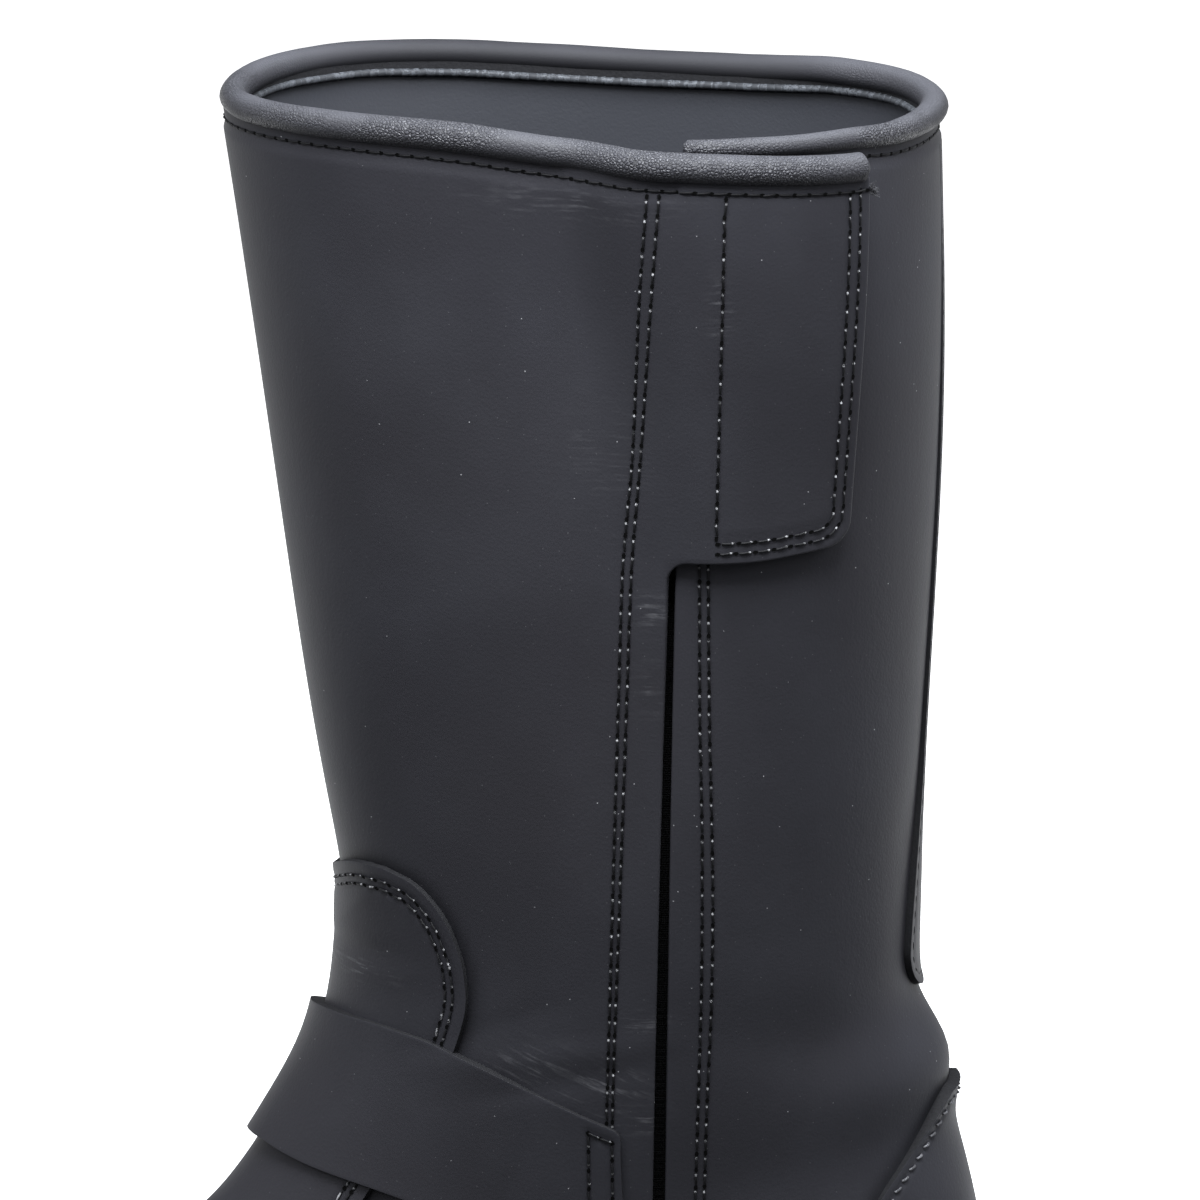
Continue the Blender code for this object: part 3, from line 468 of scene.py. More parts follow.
def half_width(ring, s, inner):
    """A ring's half width at the share s of its length, on the inner or outer side."""
    side = np.where(inner, 1.0, -1.0)
    ball = BALL_STATION + side * ring["skew"]
    body = ring["heel_half"] + (ring["ball_half"] - ring["heel_half"]) * ramp(s, (HEEL_STATION, ball))
    hollow = np.cos(np.clip((s - WAIST_STATION) / WAIST_SPAN, -1.0, 1.0) * np.pi / 2) ** 2
    body = body - np.where(inner, INNER_WAIST, OUTER_WAIST) * ring["waist"] * hollow
    back = np.clip(1.0 - s / (ring["back_round"] - side * ring["back_skew"]), 0.0, 1.0)
    front = np.clip(1.0 - (1.0 - s) / (ring["front_round"] + side * ring["skew"]), 0.0, 1.0)
    power = ring["power"]
    ends = (1.0 - back**power) ** (1.0 / power) * (1.0 - front**power) ** (1.0 / power)
    return body * ends


def length_share(around):
    """How far along a ring, from its back to its front, a place round it lies."""
    return (1.0 + np.cos(np.pi * around)) / 2.0


def wrapped(around):
    """A place round the ring as a number from -1 to 1."""
    return (np.asarray(around, float) + 1.0) % 2.0 - 1.0


def rim_value(column, way):
    """A value of the rim at a place round it, from its table."""
    return curve([(place.way, getattr(place, column)) for place in RIM_PLACES], way)


def skin(around, height, waved=True):
    """A point of the smooth outer leather surface.

    around is 0 at the front, 0.5 half way along the inner side, 1 at the back and -0.5 on the outer side.
    """
    around, height = np.broadcast_arrays(wrapped(around), np.asarray(height, float))
    ring = section_at(height)
    s = length_share(around)
    inner = around >= 0.0
    x = ring["back_x"] + (ring["front_x"] - ring["back_x"]) * s
    z = ring["back_z"] + (ring["front_z"] - ring["back_z"]) * s - ring["sag"] * dip(s)
    y = half_width(ring, s, inner) * np.where(inner, 1.0, -1.0)
    y = y + ring["shift"] + ring["swing"] * ramp(s, SWING_SPAN)
    if waved and np.any(height > RISE_FROM):
        rear = inner & (x < SLOT_X_TOP + SLOT_SLOPE * (RIM_Z - z))
        z = z + rim_value("rise", np.where(rear, around, 2.0 + around)) * ramp(height, (RISE_FROM, RIM))
    return np.stack([x, y, z], axis=-1)


def skin_steps(around, height):
    """How the smooth surface moves for a unit of around and for a unit of height."""
    step = 0.004
    around = np.asarray(around, float)
    along = (skin(around + step, height, False) - skin(around - step, height, False)) / (2.0 * step)
    low = np.clip(np.asarray(height, float) - 0.05, 0.0, RIM)
    high = np.clip(np.asarray(height, float) + 0.05, 0.0, RIM)
    up = (skin(around, high, False) - skin(around, low, False)) / np.maximum(high - low, 1e-6)[..., None]
    return along, up


def skin_normal(around, height, level=False):
    """The outward normal of the smooth surface, or its level part."""
    along, up = skin_steps(around, height)
    normal = np.cross(along, up)
    if level:
        normal[..., 2] = 0.0
    return unit(normal)


def folds(around, height):
    """How far the leather's folds rise over the smooth surface."""
    place = skin(around, height)
    around = wrapped(around)
    height = np.asarray(height, float)
    total = np.zeros(np.shape(place)[:-1])
    for fold in FOLDS:
        across = wrapped(around - fold.around) * FOLD_ARC
        over = place[..., 2] - fold.z
        turn = np.radians(fold.turn)
        along = across * np.cos(turn) + over * np.sin(turn)
        aside = over * np.cos(turn) - across * np.sin(turn)
        along = np.clip(np.abs(along) / (2.0 * fold.half_length), 0.0, 1.0)
        aside = aside / fold.half_width
        profile = np.exp(-(aside**2)) - FOLD_SHOULDER * np.exp(-((aside / FOLD_SHOULDER_WIDTH) ** 2))
        total = total + fold.rise * profile * np.cos(along * np.pi / 2) ** 2
    for flex in FLEXES:
        aside = place[..., 0] - flex.x - flex.lean * (place[..., 1] - FLEX_MIDDLE_Y)
        reach = 1.0 - smooth(np.abs(around) / FLEX_REACH)
        low = ramp(height, FLEX_FADE) * (height < FLEX_TOP)
        total = total + flex.rise * np.exp(-((aside / flex.half_width) ** 2)) * reach * low
    under = (RIM - height) * SECTION_RISE
    return total - DITCH_DEPTH * np.exp(-(((under - DITCH_UNDER) / DITCH_HALF) ** 2))


def leather_at(around, height, lift):
    """A point that lies lift millimetres outside the leather surface, folds and all."""
    around, height, lift = np.broadcast_arrays(np.asarray(around, float), np.asarray(height, float), lift)
    out = lift + folds(around, height)
    return skin(around, height) + skin_normal(around, height) * out[..., None]


def around_at(height, x):
    """Where round a ring, on the inner side, the distance from the back is x."""
    ring = section_at(height)
    s = np.clip((x - ring["back_x"]) / (ring["front_x"] - ring["back_x"]), 0.0, 1.0)
    return np.arccos(2.0 * s - 1.0) / np.pi


def height_at(around, z):
    """The height, in sections, at which the surface is z over the ground."""
    around, z = np.broadcast_arrays(np.asarray(around, float), np.asarray(z, float))
    low = np.zeros(z.shape)
    high = np.full(z.shape, float(RIM))
    for _ in range(26):
        middle = (low + high) / 2.0
        under = skin(around, middle)[..., 2] < z
        low = np.where(under, middle, low)
        high = np.where(under, high, middle)
    return (low + high) / 2.0


def arc_rate(around, height):
    """Millimetres along the ring for a unit of around."""
    return np.linalg.norm(skin_steps(around, height)[0], axis=-1)


def monotone(knots, values, at):
    """A smooth curve through the knots that doesn't overshoot them."""
    knots = np.asarray(knots, float)
    values = np.asarray(values, float)
    gaps = np.diff(knots)
    slopes = np.diff(values) / gaps
    tangents = np.concatenate([slopes[:1], np.zeros(len(slopes) - 1), slopes[-1:]])
    same = slopes[:-1] * slopes[1:] > 0.0
    total = np.where(same, slopes[:-1] + slopes[1:], 1.0)
    tangents[1:-1] = np.where(same, 2.0 * slopes[:-1] * slopes[1:] / total, 0.0)
    at = np.clip(at, knots[0], knots[-1])
    place = np.clip(np.searchsorted(knots, at, side="right") - 1, 0, len(gaps) - 1)
    t = (at - knots[place]) / gaps[place]
    blend = smooth(t)
    middle = values[place] * (1.0 - blend) + values[place + 1] * blend
    bend = t * (1.0 - t) ** 2 * tangents[place] - t * t * (1.0 - t) * tangents[place + 1]
    return middle + gaps[place] * bend


def curve(table, at):
    """The smooth curve through a table of pairs."""
    knots, values = zip(*table)
    return monotone(knots, values, at)


def edge_around(table, height):
    """Where round the ring an edge lies at a height, from its table."""
    return around_at(height, curve(table, height))


def slot_around(height):
    """The middle of the zip's slot at a height."""
    around = np.full(np.shape(height), SLOT_GUESS)
    for _ in range(8):
        z = skin(around, height)[..., 2]
        around = around_at(height, SLOT_X_TOP + SLOT_SLOPE * (RIM_Z - z))
    return around


def settle(points, around, height):
    """The places on the smooth surface nearest to points, from places close by."""
    for _ in range(5):
        along, up = skin_steps(around, height)
        miss = points - skin(around, height)
        aa = np.sum(along * along, axis=-1)
        uu = np.sum(up * up, axis=-1)
        au = np.sum(along * up, axis=-1)
        ma = np.sum(miss * along, axis=-1)
        mu = np.sum(miss * up, axis=-1)
        whole = aa * uu - au * au
        around = around + (ma * uu - mu * au) / whole
        height = np.clip(height + (mu * aa - ma * au) / whole, 0.0, RIM)
    return around, height


def noise_rows(seed, count, smoothing):
    """A repeatable run of soft random numbers between about -1 and 1."""
    values = np.random.default_rng(seed).normal(size=count)
    kernel = np.hanning(2 * smoothing + 3)
    joined = np.concatenate([values[-smoothing - 1 :], values, values[: smoothing + 1]])
    values = np.convolve(joined, kernel, "valid")
    return values / np.abs(values).max()


# Node maths as plain expressions
class Nodes:
    """A node tree: each node gets its settings first, then the values or links of its sockets."""

    def __init__(self, tree):
        self.tree = tree

    def add(self, kind, settings=None, sockets=None):
        """A new node."""
        node = self.tree.nodes.new(kind)
        for name, value in (settings or {}).items():
            setattr(node, name, value)
        self.feed(node, sockets or {})
        return node

    def feed(self, node, sockets):
        """Sets or links a node's sockets."""
        for name, value in sockets.items():
            if isinstance(value, Value):
                value = value.socket
            if isinstance(value, bpy.types.NodeSocket):
                self.tree.links.new(value, node.inputs[name])
            else:
                node.inputs[name].default_value = value


class Value:
    """A number socket of a tree, for expressions."""

    def __init__(self, nodes, socket):
        self.nodes = nodes
        self.socket = socket

    def math(self, operation, *others):
        """One step of arithmetic."""
        node = self.nodes.add("ShaderNodeMath", {"operation": operation}, dict(enumerate(others)))
        return Value(self.nodes, node.outputs[0])

    def __add__(self, other):
        return self.math("ADD", self, other)

    __radd__ = __add__

    def __sub__(self, other):
        return self.math("SUBTRACT", self, other)

    def __rsub__(self, other):
        return self.math("SUBTRACT", other, self)

    def __mul__(self, other):
        return self.math("MULTIPLY", self, other)

    __rmul__ = __mul__

    def __truediv__(self, other):
        return self.math("DIVIDE", self, other)

    def __rtruediv__(self, other):
        return self.math("DIVIDE", other, self)

    def __neg__(self):
        return self.math("MULTIPLY", self, -1.0)

    def step(self, low, high):
        """0 below low, 1 over high, smooth between."""
        sockets = {"Value": self, "From Min": low, "From Max": high}
        node = self.nodes.add("ShaderNodeMapRange", {"interpolation_type": "SMOOTHSTEP"}, sockets)
        return Value(self.nodes, node.outputs[0])


class Finish(Nodes):
    """A material: Object coordinates in metres, textures on them, and one shader."""

    def __init__(self, name):
        self.material = bpy.data.materials.new(name)
        self.material.use_nodes = True
        super().__init__(self.material.node_tree)
        self.shader = self.tree.nodes["Principled BSDF"]
        self.coords = self.add("ShaderNodeTexCoord").outputs["Object"]

    def stretched(self, scale, slant=0.0):
        """The coordinates, turned in the plane of the boot's side and scaled along each axis."""
        turned = {"Vector": self.coords, "Rotation": (0.0, slant, 0.0)}
        turned = self.add("ShaderNodeMapping", None, turned).outputs[0]
        return self.add("ShaderNodeMapping", None, {"Vector": turned, "Scale": scale}).outputs[0]

    def noise(self, scale, detail=2.0, coords=None):
        """Soft random blotches, from 0 to 1."""
        sockets = {"Vector": coords or self.coords, "Scale": scale, "Detail": detail}
        return Value(self, self.add("ShaderNodeTexNoise", None, sockets).outputs[0])

    def axis(self, number):
        """One of the coordinates, in metres."""
        return Value(self, self.add("ShaderNodeSeparateXYZ", None, {0: self.coords}).outputs[number])

    def cells(self, scale):
        """Cells: how far a point is from a cell's middle, and the cell's own random number."""
        node = self.add("ShaderNodeTexVoronoi", None, {"Vector": self.coords, "Scale": scale})
        number = self.add("ShaderNodeSeparateColor", None, {0: node.outputs["Color"]}).outputs[0]
        return Value(self, node.outputs["Distance"]), Value(self, number)

    def creases(self, scale):
        """How far a point is from the nearest edge between two of the same cells."""
        sockets = {"Vector": self.coords, "Scale": scale}
        node = self.add("ShaderNodeTexVoronoi", {"feature": "DISTANCE_TO_EDGE"}, sockets)
        return Value(self, node.outputs["Distance"])

    def attribute(self, name):
        """A number that the mesh carries."""
        return Value(self, self.add("ShaderNodeAttribute", {"attribute_name": name}).outputs["Fac"])

    def mix(self, share, first, second):
        """A colour between two."""
        sockets = {0: share, 6: first, 7: second}
        return self.add("ShaderNodeMix", {"data_type": "RGBA"}, sockets).outputs[2]

    def bump(self, height, depth):
        """A bump whose height of 1 is depth metres."""
        return self.add("ShaderNodeBump", None, {"Height": height, "Distance": depth}).outputs[0]

    def set(self, **values):
        """Feeds the shader's sockets; a name's underscores stand for spaces."""
        self.feed(self.shader, {name.replace("_", " "): value for name, value in values.items()})
        return self.material


def grey(value):
    """A plain grey colour."""
    return (value, value, value, 1.0)


def dust_specks(finish, scale, size):
    """Tiny pale specks, one in some of the cells."""
    distance, number = finish.cells(scale)
    return (1.0 - distance.step(size * 0.6, size)) * number.step(0.32, 0.37)


# How far the slanting scuffs turn from level
SLANT = math.radians(24.0)


def leather_finish():
    """Matt oiled leather with blotches, fine grain, faint scuffs, dust, and painted shade along the overlays'
    edges.
    """
    finish = Finish("boot_leather")
    blotch = finish.noise(26.0, 4.0)
    cloud = finish.noise(9.0, 2.0)
    patchy = finish.noise(330.0, 2.0).step(0.40, 0.62)
    level = finish.noise(1500.0, 3.0, finish.stretched((0.10, 0.10, 1.0)))
    slanted = finish.noise(1500.0, 3.0, finish.stretched((0.10, 0.10, 1.0), SLANT))
    scuff = finish.attribute("scuff") * level.step(0.48, 0.66)
    scuff = scuff + finish.attribute("slant_scuff") * slanted.step(0.48, 0.66)
    scuff = scuff * (0.35 + patchy * 0.65)
    specks = dust_specks(finish, 260.0, 0.040)
    powder = dust_specks(finish, 600.0, 0.080)
    tone = finish.mix(blotch.step(0.3, 0.75), (0.0215, 0.0212, 0.0255, 1.0), (0.0290, 0.0292, 0.0350, 1.0))
    tone = finish.mix(cloud.step(0.35, 0.7) * 0.5, tone, (0.0245, 0.0228, 0.0258, 1.0))
    # Painted shade: darker along the vamp's and the heel counter's edges, where the overlays shade the upper
    tone = finish.mix(finish.attribute("edge_shade") * 0.7, tone, (0.004, 0.004, 0.005, 1.0))
    tone = finish.mix(scuff * 0.6, tone, (0.15, 0.15, 0.16, 1.0))
    tone = finish.mix(powder * 0.7, tone, (0.075, 0.075, 0.08, 1.0))
    tone = finish.mix(specks * 0.85, tone, (0.30, 0.30, 0.31, 1.0))
    pores, _ = finish.cells(1500.0)
    grain = finish.noise(2600.0, 3.0)
    creased = finish.noise(420.0, 4.0, finish.stretched((1.0, 1.0, 0.5)))
    height = pores * 0.5 + grain * 0.5 + creased * 0.8
    roughness = 0.56 + (blotch - 0.5) * 0.16 + (grain - 0.5) * 0.10 - scuff * 0.10
    return finish.set(
        Base_Color=tone,
        Roughness=roughness,
        Normal=finish.bump(height, 0.00004),
        Specular_IOR_Level=0.16,
    )


def edge_finish():
    """The cut edge of the leather, blackened with dye and partly painted shade; also the painted shade on the
    facing under the roll.
    """
    finish = Finish("leather_cut_edge")
    fibre = finish.noise(1800.0, 4.0)
    tone = finish.mix(fibre, (0.005, 0.005, 0.006, 1.0), (0.016, 0.016, 0.018, 1.0))
    return finish.set(
        Base_Color=tone,
        Roughness=0.75,
        Normal=finish.bump(fibre, 0.0001),
        Specular_IOR_Level=0.2,
    )


def roll_finish():
    """Soft pebbled leather with a low sheen, smoother on the outer side; painted shade on the outer side and
    in the creases, painted highlights on the inner crest.
    """
    finish = Finish("roll_leather")
    pebble, number = finish.cells(1650.0)
    crease = finish.creases(1650.0)
    fine = finish.noise(3600.0, 2.0)
    patch = finish.noise(45.0, 3.0)
    inwards = finish.axis(1)
    near = inwards.step(-0.040, -0.015)
    crest = finish.attribute("crest")
    grained = (0.25 + patch.step(0.38, 0.6) * 0.75) * inwards.step(-0.030, 0.000)
    tone = finish.mix(patch.step(0.3, 0.7), (0.026, 0.026, 0.0305, 1.0), (0.037, 0.037, 0.043, 1.0))
    # Painted shade: the outer (far) side of the roll darker, most on its lower half, least at its crest
    tone = finish.mix((1.0 - near) * (0.92 - crest.step(0.0, 0.9) * 0.5), tone, (0.006, 0.006, 0.008, 1.0))
    # Painted highlight: paler along the crest on the near side
    tone = finish.mix(crest.step(0.35, 0.95) * near * 0.4, tone, (0.088, 0.090, 0.102, 1.0))
    # Painted highlights on some pebbles
    tone = finish.mix(number.step(0.7, 1.0) * grained * 0.2, tone, (0.11, 0.11, 0.12, 1.0))
    # Painted shade in the creases between pebbles
    tone = finish.mix((1.0 - crease.step(0.0, 0.16)) * grained * 0.7, tone, (0.006, 0.006, 0.007, 1.0))
    height = crease.step(0.0, 0.30) * (0.04 + grained * 0.96) - pebble * grained * 0.4 + fine * 0.10
    roughness = 0.72 + (fine - 0.5) * 0.12 - grained * 0.34
    return finish.set(
        Base_Color=tone,
        Roughness=roughness,
        Normal=finish.bump(height, 0.00014),
        Specular_IOR_Level=0.30,
    )


def lining_finish():
    """Smooth blue-grey lining leather."""
    finish = Finish("lining_leather")
    patch = finish.noise(30.0, 3.0)
    grain = finish.noise(1700.0, 3.0)
    tone = finish.mix(patch, (0.018, 0.0192, 0.0245, 1.0), (0.025, 0.0268, 0.0335, 1.0))
    roughness = 0.62 + (patch - 0.5) * 0.12
    return finish.set(Base_Color=tone, Roughness=roughness, Normal=finish.bump(grain, 0.00005))


def thread_finish(name, dark, pale):
    """Waxed twisted thread with a painted highlight near one end, pale along more of its length where it is
    worn.
    """
    finish = Finish(name)
    along = finish.attribute("along_stitch")
    worn = finish.attribute("worn")
    reach = 0.30 + worn.step(0.65, 0.95) * 0.6
    crown = along.step(0.06, 0.12) * (1.0 - (along - reach).step(-0.10, 0.0))
    number = finish.noise(700.0, 2.0)
    twist = finish.noise(2600.0, 1.0)
    # Painted highlight: a pale glint near one end of each stitch, longer and stronger with wear
    shine = crown * worn.step(0.0, 0.6) * (0.35 + number.step(0.35, 0.6) * 0.65) * twist.step(0.36, 0.5)
    tone = finish.mix(shine, dark, pale)
    return finish.set(Base_Color=tone, Roughness=0.6 - shine * 0.2, Specular_IOR_Level=0.2)


def hole_finish():
    """Painted shade: the dark of a needle hole, near black."""
    finish = Finish("needle_hole")
    speck = finish.noise(2500.0, 2.0)
    tone = finish.mix(speck, grey(0.001), grey(0.004))
    return finish.set(Base_Color=tone, Roughness=0.95, Specular_IOR_Level=0.05)


def rubber_finish():
    """Moulded rubber with a fine matt texture and dust in it."""
    finish = Finish("sole_rubber")
    fine = finish.noise(1300.0, 4.0)
    patch = finish.noise(35.0, 4.0)
    tone = finish.mix(patch.step(0.35, 0.75), (0.013, 0.013, 0.013, 1.0), (0.030, 0.029, 0.028, 1.0))
    tone = finish.mix(dust_specks(finish, 120.0, 0.03) * 0.5, tone, grey(0.25))
    roughness = 0.66 + (patch - 0.5) * 0.2
    return finish.set(Base_Color=tone, Roughness=roughness, Normal=finish.bump(fine, 0.00012))


def sole_edge_finish():
    """Dressed sole edge with fine lines along it."""
    finish = Finish("dressed_edge")
    lines = finish.noise(900.0, 3.0, finish.stretched((0.06, 0.06, 1.0)))
    patch = finish.noise(40.0, 3.0)
    tone = finish.mix(patch, (0.016, 0.015, 0.015, 1.0), (0.034, 0.031, 0.030, 1.0))
    roughness = 0.44 + (lines - 0.5) * 0.3
    return finish.set(Base_Color=tone, Roughness=roughness, Normal=finish.bump(lines, 0.00012))


def woven_finish(name, dark, pale, scale):
    """A close weave of crossing threads."""
    finish = Finish(name)
    sockets = {"Vector": finish.coords, "Scale": scale, "Distortion": 0.6, "Detail": 1.0}
    upright = Value(finish, finish.add("ShaderNodeTexWave", {"bands_direction": "Z"}, sockets).outputs[1])
    level = Value(finish, finish.add("ShaderNodeTexWave", {"bands_direction": "X"}, sockets).outputs[1])
    patch = finish.noise(60.0, 3.0)
    weave = upright * 0.5 + level * 0.5
    tone = finish.mix(weave * 0.7 + patch * 0.3, dark, pale)
    return finish.set(
        Base_Color=tone,
        Roughness=0.85,
        Normal=finish.bump(weave, 0.00015),
        Specular_IOR_Level=0.15,
    )


def coil_finish():
    """Moulded coil of the zip, near black as painted shade in the slot."""
    finish = Finish("zip_coil")
    patch = finish.noise(300.0, 2.0)
    tone = finish.mix(patch, grey(0.0015), grey(0.004))
    return finish.set(Base_Color=tone, Roughness=0.8, Specular_IOR_Level=0.1)


LEATHER = leather_finish()
BLACK_EDGE_AND_SHADE = edge_finish()
ROLL_LEATHER = roll_finish()
LINING = lining_finish()
THREAD = thread_finish("black_thread", (0.006, 0.006, 0.007, 1.0), (0.36, 0.36, 0.37, 1.0))
DUSTY_THREAD = thread_finish("dusty_thread", (0.055, 0.055, 0.060, 1.0), (0.15, 0.15, 0.16, 1.0))
PALE_THREAD = thread_finish("grey_thread", (0.030, 0.032, 0.036, 1.0), (0.070, 0.075, 0.084, 1.0))
HOLE_SHADE = hole_finish()
RUBBER = rubber_finish()
SOLE_EDGE = sole_edge_finish()
# The zip's tape, near black as painted shade in the slot
SHADED_TAPE = woven_finish("zip_tape_weave", (0.0015, 0.0015, 0.0017, 1.0), (0.004, 0.004, 0.0045, 1.0), 700.0)
FOOTBED = woven_finish("footbed_weave", (0.045, 0.047, 0.053, 1.0), (0.085, 0.088, 0.098, 1.0), 500.0)
SHADED_COIL = coil_finish()


# Meshes
def placed(points):
    """Millimetre points in metres round the origin."""
    return (np.asarray(points, float).reshape(-1, 3) - ORIGIN) * MM


def add_mesh(name, points, faces, materials, attributes=None):
    """An object from millimetre points, its doubles merged."""
    mesh = bpy.data.meshes.new(name)
    mesh.from_pydata(placed(points).tolist(), [], faces)
    for key, values in (attributes or {}).items():
        layer = mesh.attributes.new(key, "FLOAT", "POINT")
        layer.data.foreach_set("value", np.asarray(values, np.float32).reshape(-1))
    work = bmesh.new()
    work.from_mesh(mesh)
    bmesh.ops.remove_doubles(work, verts=work.verts, dist=0.000004)
    loose = [vert for vert in work.verts if not vert.link_faces]
    bmesh.ops.delete(work, geom=loose, context="VERTS")
    work.to_mesh(mesh)
    work.free()
    for material in materials:
        mesh.materials.append(material)
    piece = bpy.data.objects.new(name, mesh)
    bpy.context.scene.collection.objects.link(piece)
    return piece


def applied(piece):
    """The piece with its modifiers turned into a plain smooth mesh."""
    graph = bpy.context.evaluated_depsgraph_get()
    shaped = piece.evaluated_get(graph)
    mesh = bpy.data.meshes.new_from_object(shaped, preserve_all_data_layers=True, depsgraph=graph)
    mesh.name = piece.name
    piece.modifiers.clear()
    piece.data = mesh
    mesh.shade_smooth()
    return piece


def thicken(piece, thickness, rounding, rim_material=0, segments=3):
    """Gives a sheet its thickness, inwards, and rounds its edges."""
    wall = piece.modifiers.new("thickness", "SOLIDIFY")
    wall.thickness = thickness * MM
    wall.offset = -1.0
    wall.material_offset_rim = rim_material
    return round_edges(piece, rounding, segments)


def round_edges(piece, rounding, segments=3, angle=48.0):
    """Rounds the sharp edges of a piece."""
    bevel = piece.modifiers.new("rounded", "BEVEL")
    bevel.width = rounding * MM
    bevel.segments = segments
    bevel.limit_method = "ANGLE"
    bevel.angle_limit = math.radians(angle)
    bevel.use_clamp_overlap = True
    return applied(piece)


def grid_faces(rows, columns, keep=None):
    """The faces of a grid of points, over the cells that are kept."""
    index = np.arange(rows * columns).reshape(rows, columns)
    quads = np.stack([index[:-1, :-1], index[:-1, 1:], index[1:, 1:], index[1:, :-1]], axis=-1)
    if keep is None:
        return quads.reshape(-1, 4).tolist()
    return quads[keep].tolist()


def settle_piece(piece, slot, *nodes):
    """The piece rides on the boot and stands for CAD nodes, which are hidden; slot is not used."""
    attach(piece, "root")
    if nodes:
        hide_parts(*nodes)


# Seams: runs of stitches on a surface
# How pale a seam's thread is comes from its wear and a painted highlight
Seam = namedtuple("Seam", "points normals pitch worn slant")
seams = []


def add_seam(points, normals, pitch=STITCH_PITCH, worn=0.3, slant=0.05, keep=True):
    """A row of stitches along a line of points, noted among the leather's seams unless keep is False."""
    seam = Seam(np.asarray(points), np.asarray(normals), pitch, worn, slant)
    if keep:
        seams.append(seam)
    return seam


def seam_on(around, height, lift, **facts):
    """A row of stitches along places on the leather."""
    return add_seam(leather_at(around, height, lift), skin_normal(around, height), **facts)


def seam_inside(around, height, inset, lift, **facts):
    """A row of stitches a set distance to the left of a line of places, as seen from outside."""
    line = skin(around, height)
    tangent = unit(np.gradient(line, axis=0))
    side = unit(np.cross(skin_normal(around, height), tangent))
    around, height = settle(line + side * inset, around, height)
    return seam_on(around, height, lift, **facts)


def nearness(points, lines, reach):
    """1 on lines of points, falling away from them."""
    fine = []
    for line in lines:
        places = np.linspace(0.0, len(line) - 1.0, 6 * len(line))
        fine.append(line_at(places, np.arange(len(line)), line))
    fine = np.concatenate(fine)
    tree = KDTree(len(fine))
    for number, point in enumerate(fine):
        tree.insert(point, number)
    tree.balance()
    distance = np.array([tree.find(point)[2] for point in points.reshape(-1, 3)])
    return np.exp(-((distance.reshape(points.shape[:-1]) / reach) ** 2))


def pressed(points, rows):
    """How far points sink next to rows of stitches."""
    return -PRESS_DEPTH * nearness(points, [seam.points for seam in rows], PRESS_REACH)


def table_around(table, z):
    """Where round the boot a row from a (z, x) table lies, and its height."""
    x = curve(table, z)
    around = np.full(z.shape, ROW_GUESS)
    for _ in range(6):
        height = height_at(around, z)
        around = around_at(height, x)
    return around, height


# Upper with its tab: one sheet from the slot's rear edge round the boot to the slot's front edge, and over it
def roll_drop(way):
    """How far the roll hangs lower along the tab."""
    return ROLL_DROP * ramp(way, (ROLL_DROP_FROM, ROLL_END))


def rim_line(way):
    """The rim's height over the ground, which the roll lies on."""
    return RIM_Z + rim_value("rise", way) - roll_drop(way)


def tab_share(z):
    """The share of the way up the tab at a height over the ground."""
    return np.clip((z - TAB_LOW_Z) / (RIM_Z - TAB_LOW_Z), 0.0, 1.0)


def panel_lift(way, height, z):
    """How far the front panel and its tab stand off near the slot."""
    up = tab_share(z)
    whole = between(TAB_LIFT, smooth(up)) * ramp(z, TAB_FADE_Z)
    slot = 2.0 + slot_around(height)
    start = slot + between(TAB_LIFT_FROM, up)
    stop = slot + between(TAB_LIFT_TO, up)
    return whole * smooth((way - start) / (stop - start))


def slot_edges(height):
    """The slot's front and rear edges round the ring; they meet under its lower end."""
    middle = slot_around(height)
    z = skin(middle, height)[..., 2]
    width = between(SLOT_WIDTH, ramp(z, SLOT_WIDTH_Z)) * ramp(z, SLOT_END_Z)
    half = width / 2.0 / arc_rate(middle, height)
    return middle - half, middle + half


def tab_place(across, z):
    """Where round the boot a share across the tab lies."""
    height = height_at(SLOT_GUESS, z)
    front = slot_edges(height)[0]
    up = tab_share(z)
    around = front + across * (between(TAB_REAR, up) - front)
    return around, height_at(around, z)


def tab_low(across, corner=True):
    """The tab's lower edge over the ground, with its rounded rear corner."""
    low = curve(TAB_LOW, across)
    if corner:
        t = np.clip((across - 1.0 + TAB_CORNER_SHARE) / TAB_CORNER_SHARE, 0.0, 1.0)
        low = low + TAB_CORNER * (1.0 - np.sqrt(1.0 - CORNER_FULLNESS * t**2))
    return low


def tab_seam(across, z, **facts):
    """A row of stitches on the tab."""
    around, height = tab_place(across, z)
    lift = panel_lift(2.0 + around, height, z)
    return seam_on(around, height, lift, **facts)


def tab_corner_line(from_rear, from_low, radius):
    """A line down beside the tab's rear edge and round along its lower edge: shares across and heights."""
    turn = np.linspace(0.0, np.pi / 2, 9)
    level = np.linspace(from_rear + radius, TAB_WIDTH * TAB_CORNER_ROW_END, 24)[1:]
    rear = np.concatenate([np.full(40, from_rear), from_rear + radius * (1.0 - np.cos(turn)), level])
    upright = np.linspace(TAB_CORNER_ROW_TOP, from_low + radius, 41)[:-1]
    low_turn = from_low + radius * (1.0 - np.sin(turn))
    low = np.concatenate([upright, low_turn, np.full(len(level), from_low)])
    across = 1.0 - rear / TAB_WIDTH
    return across, tab_low(across, corner=False) + low


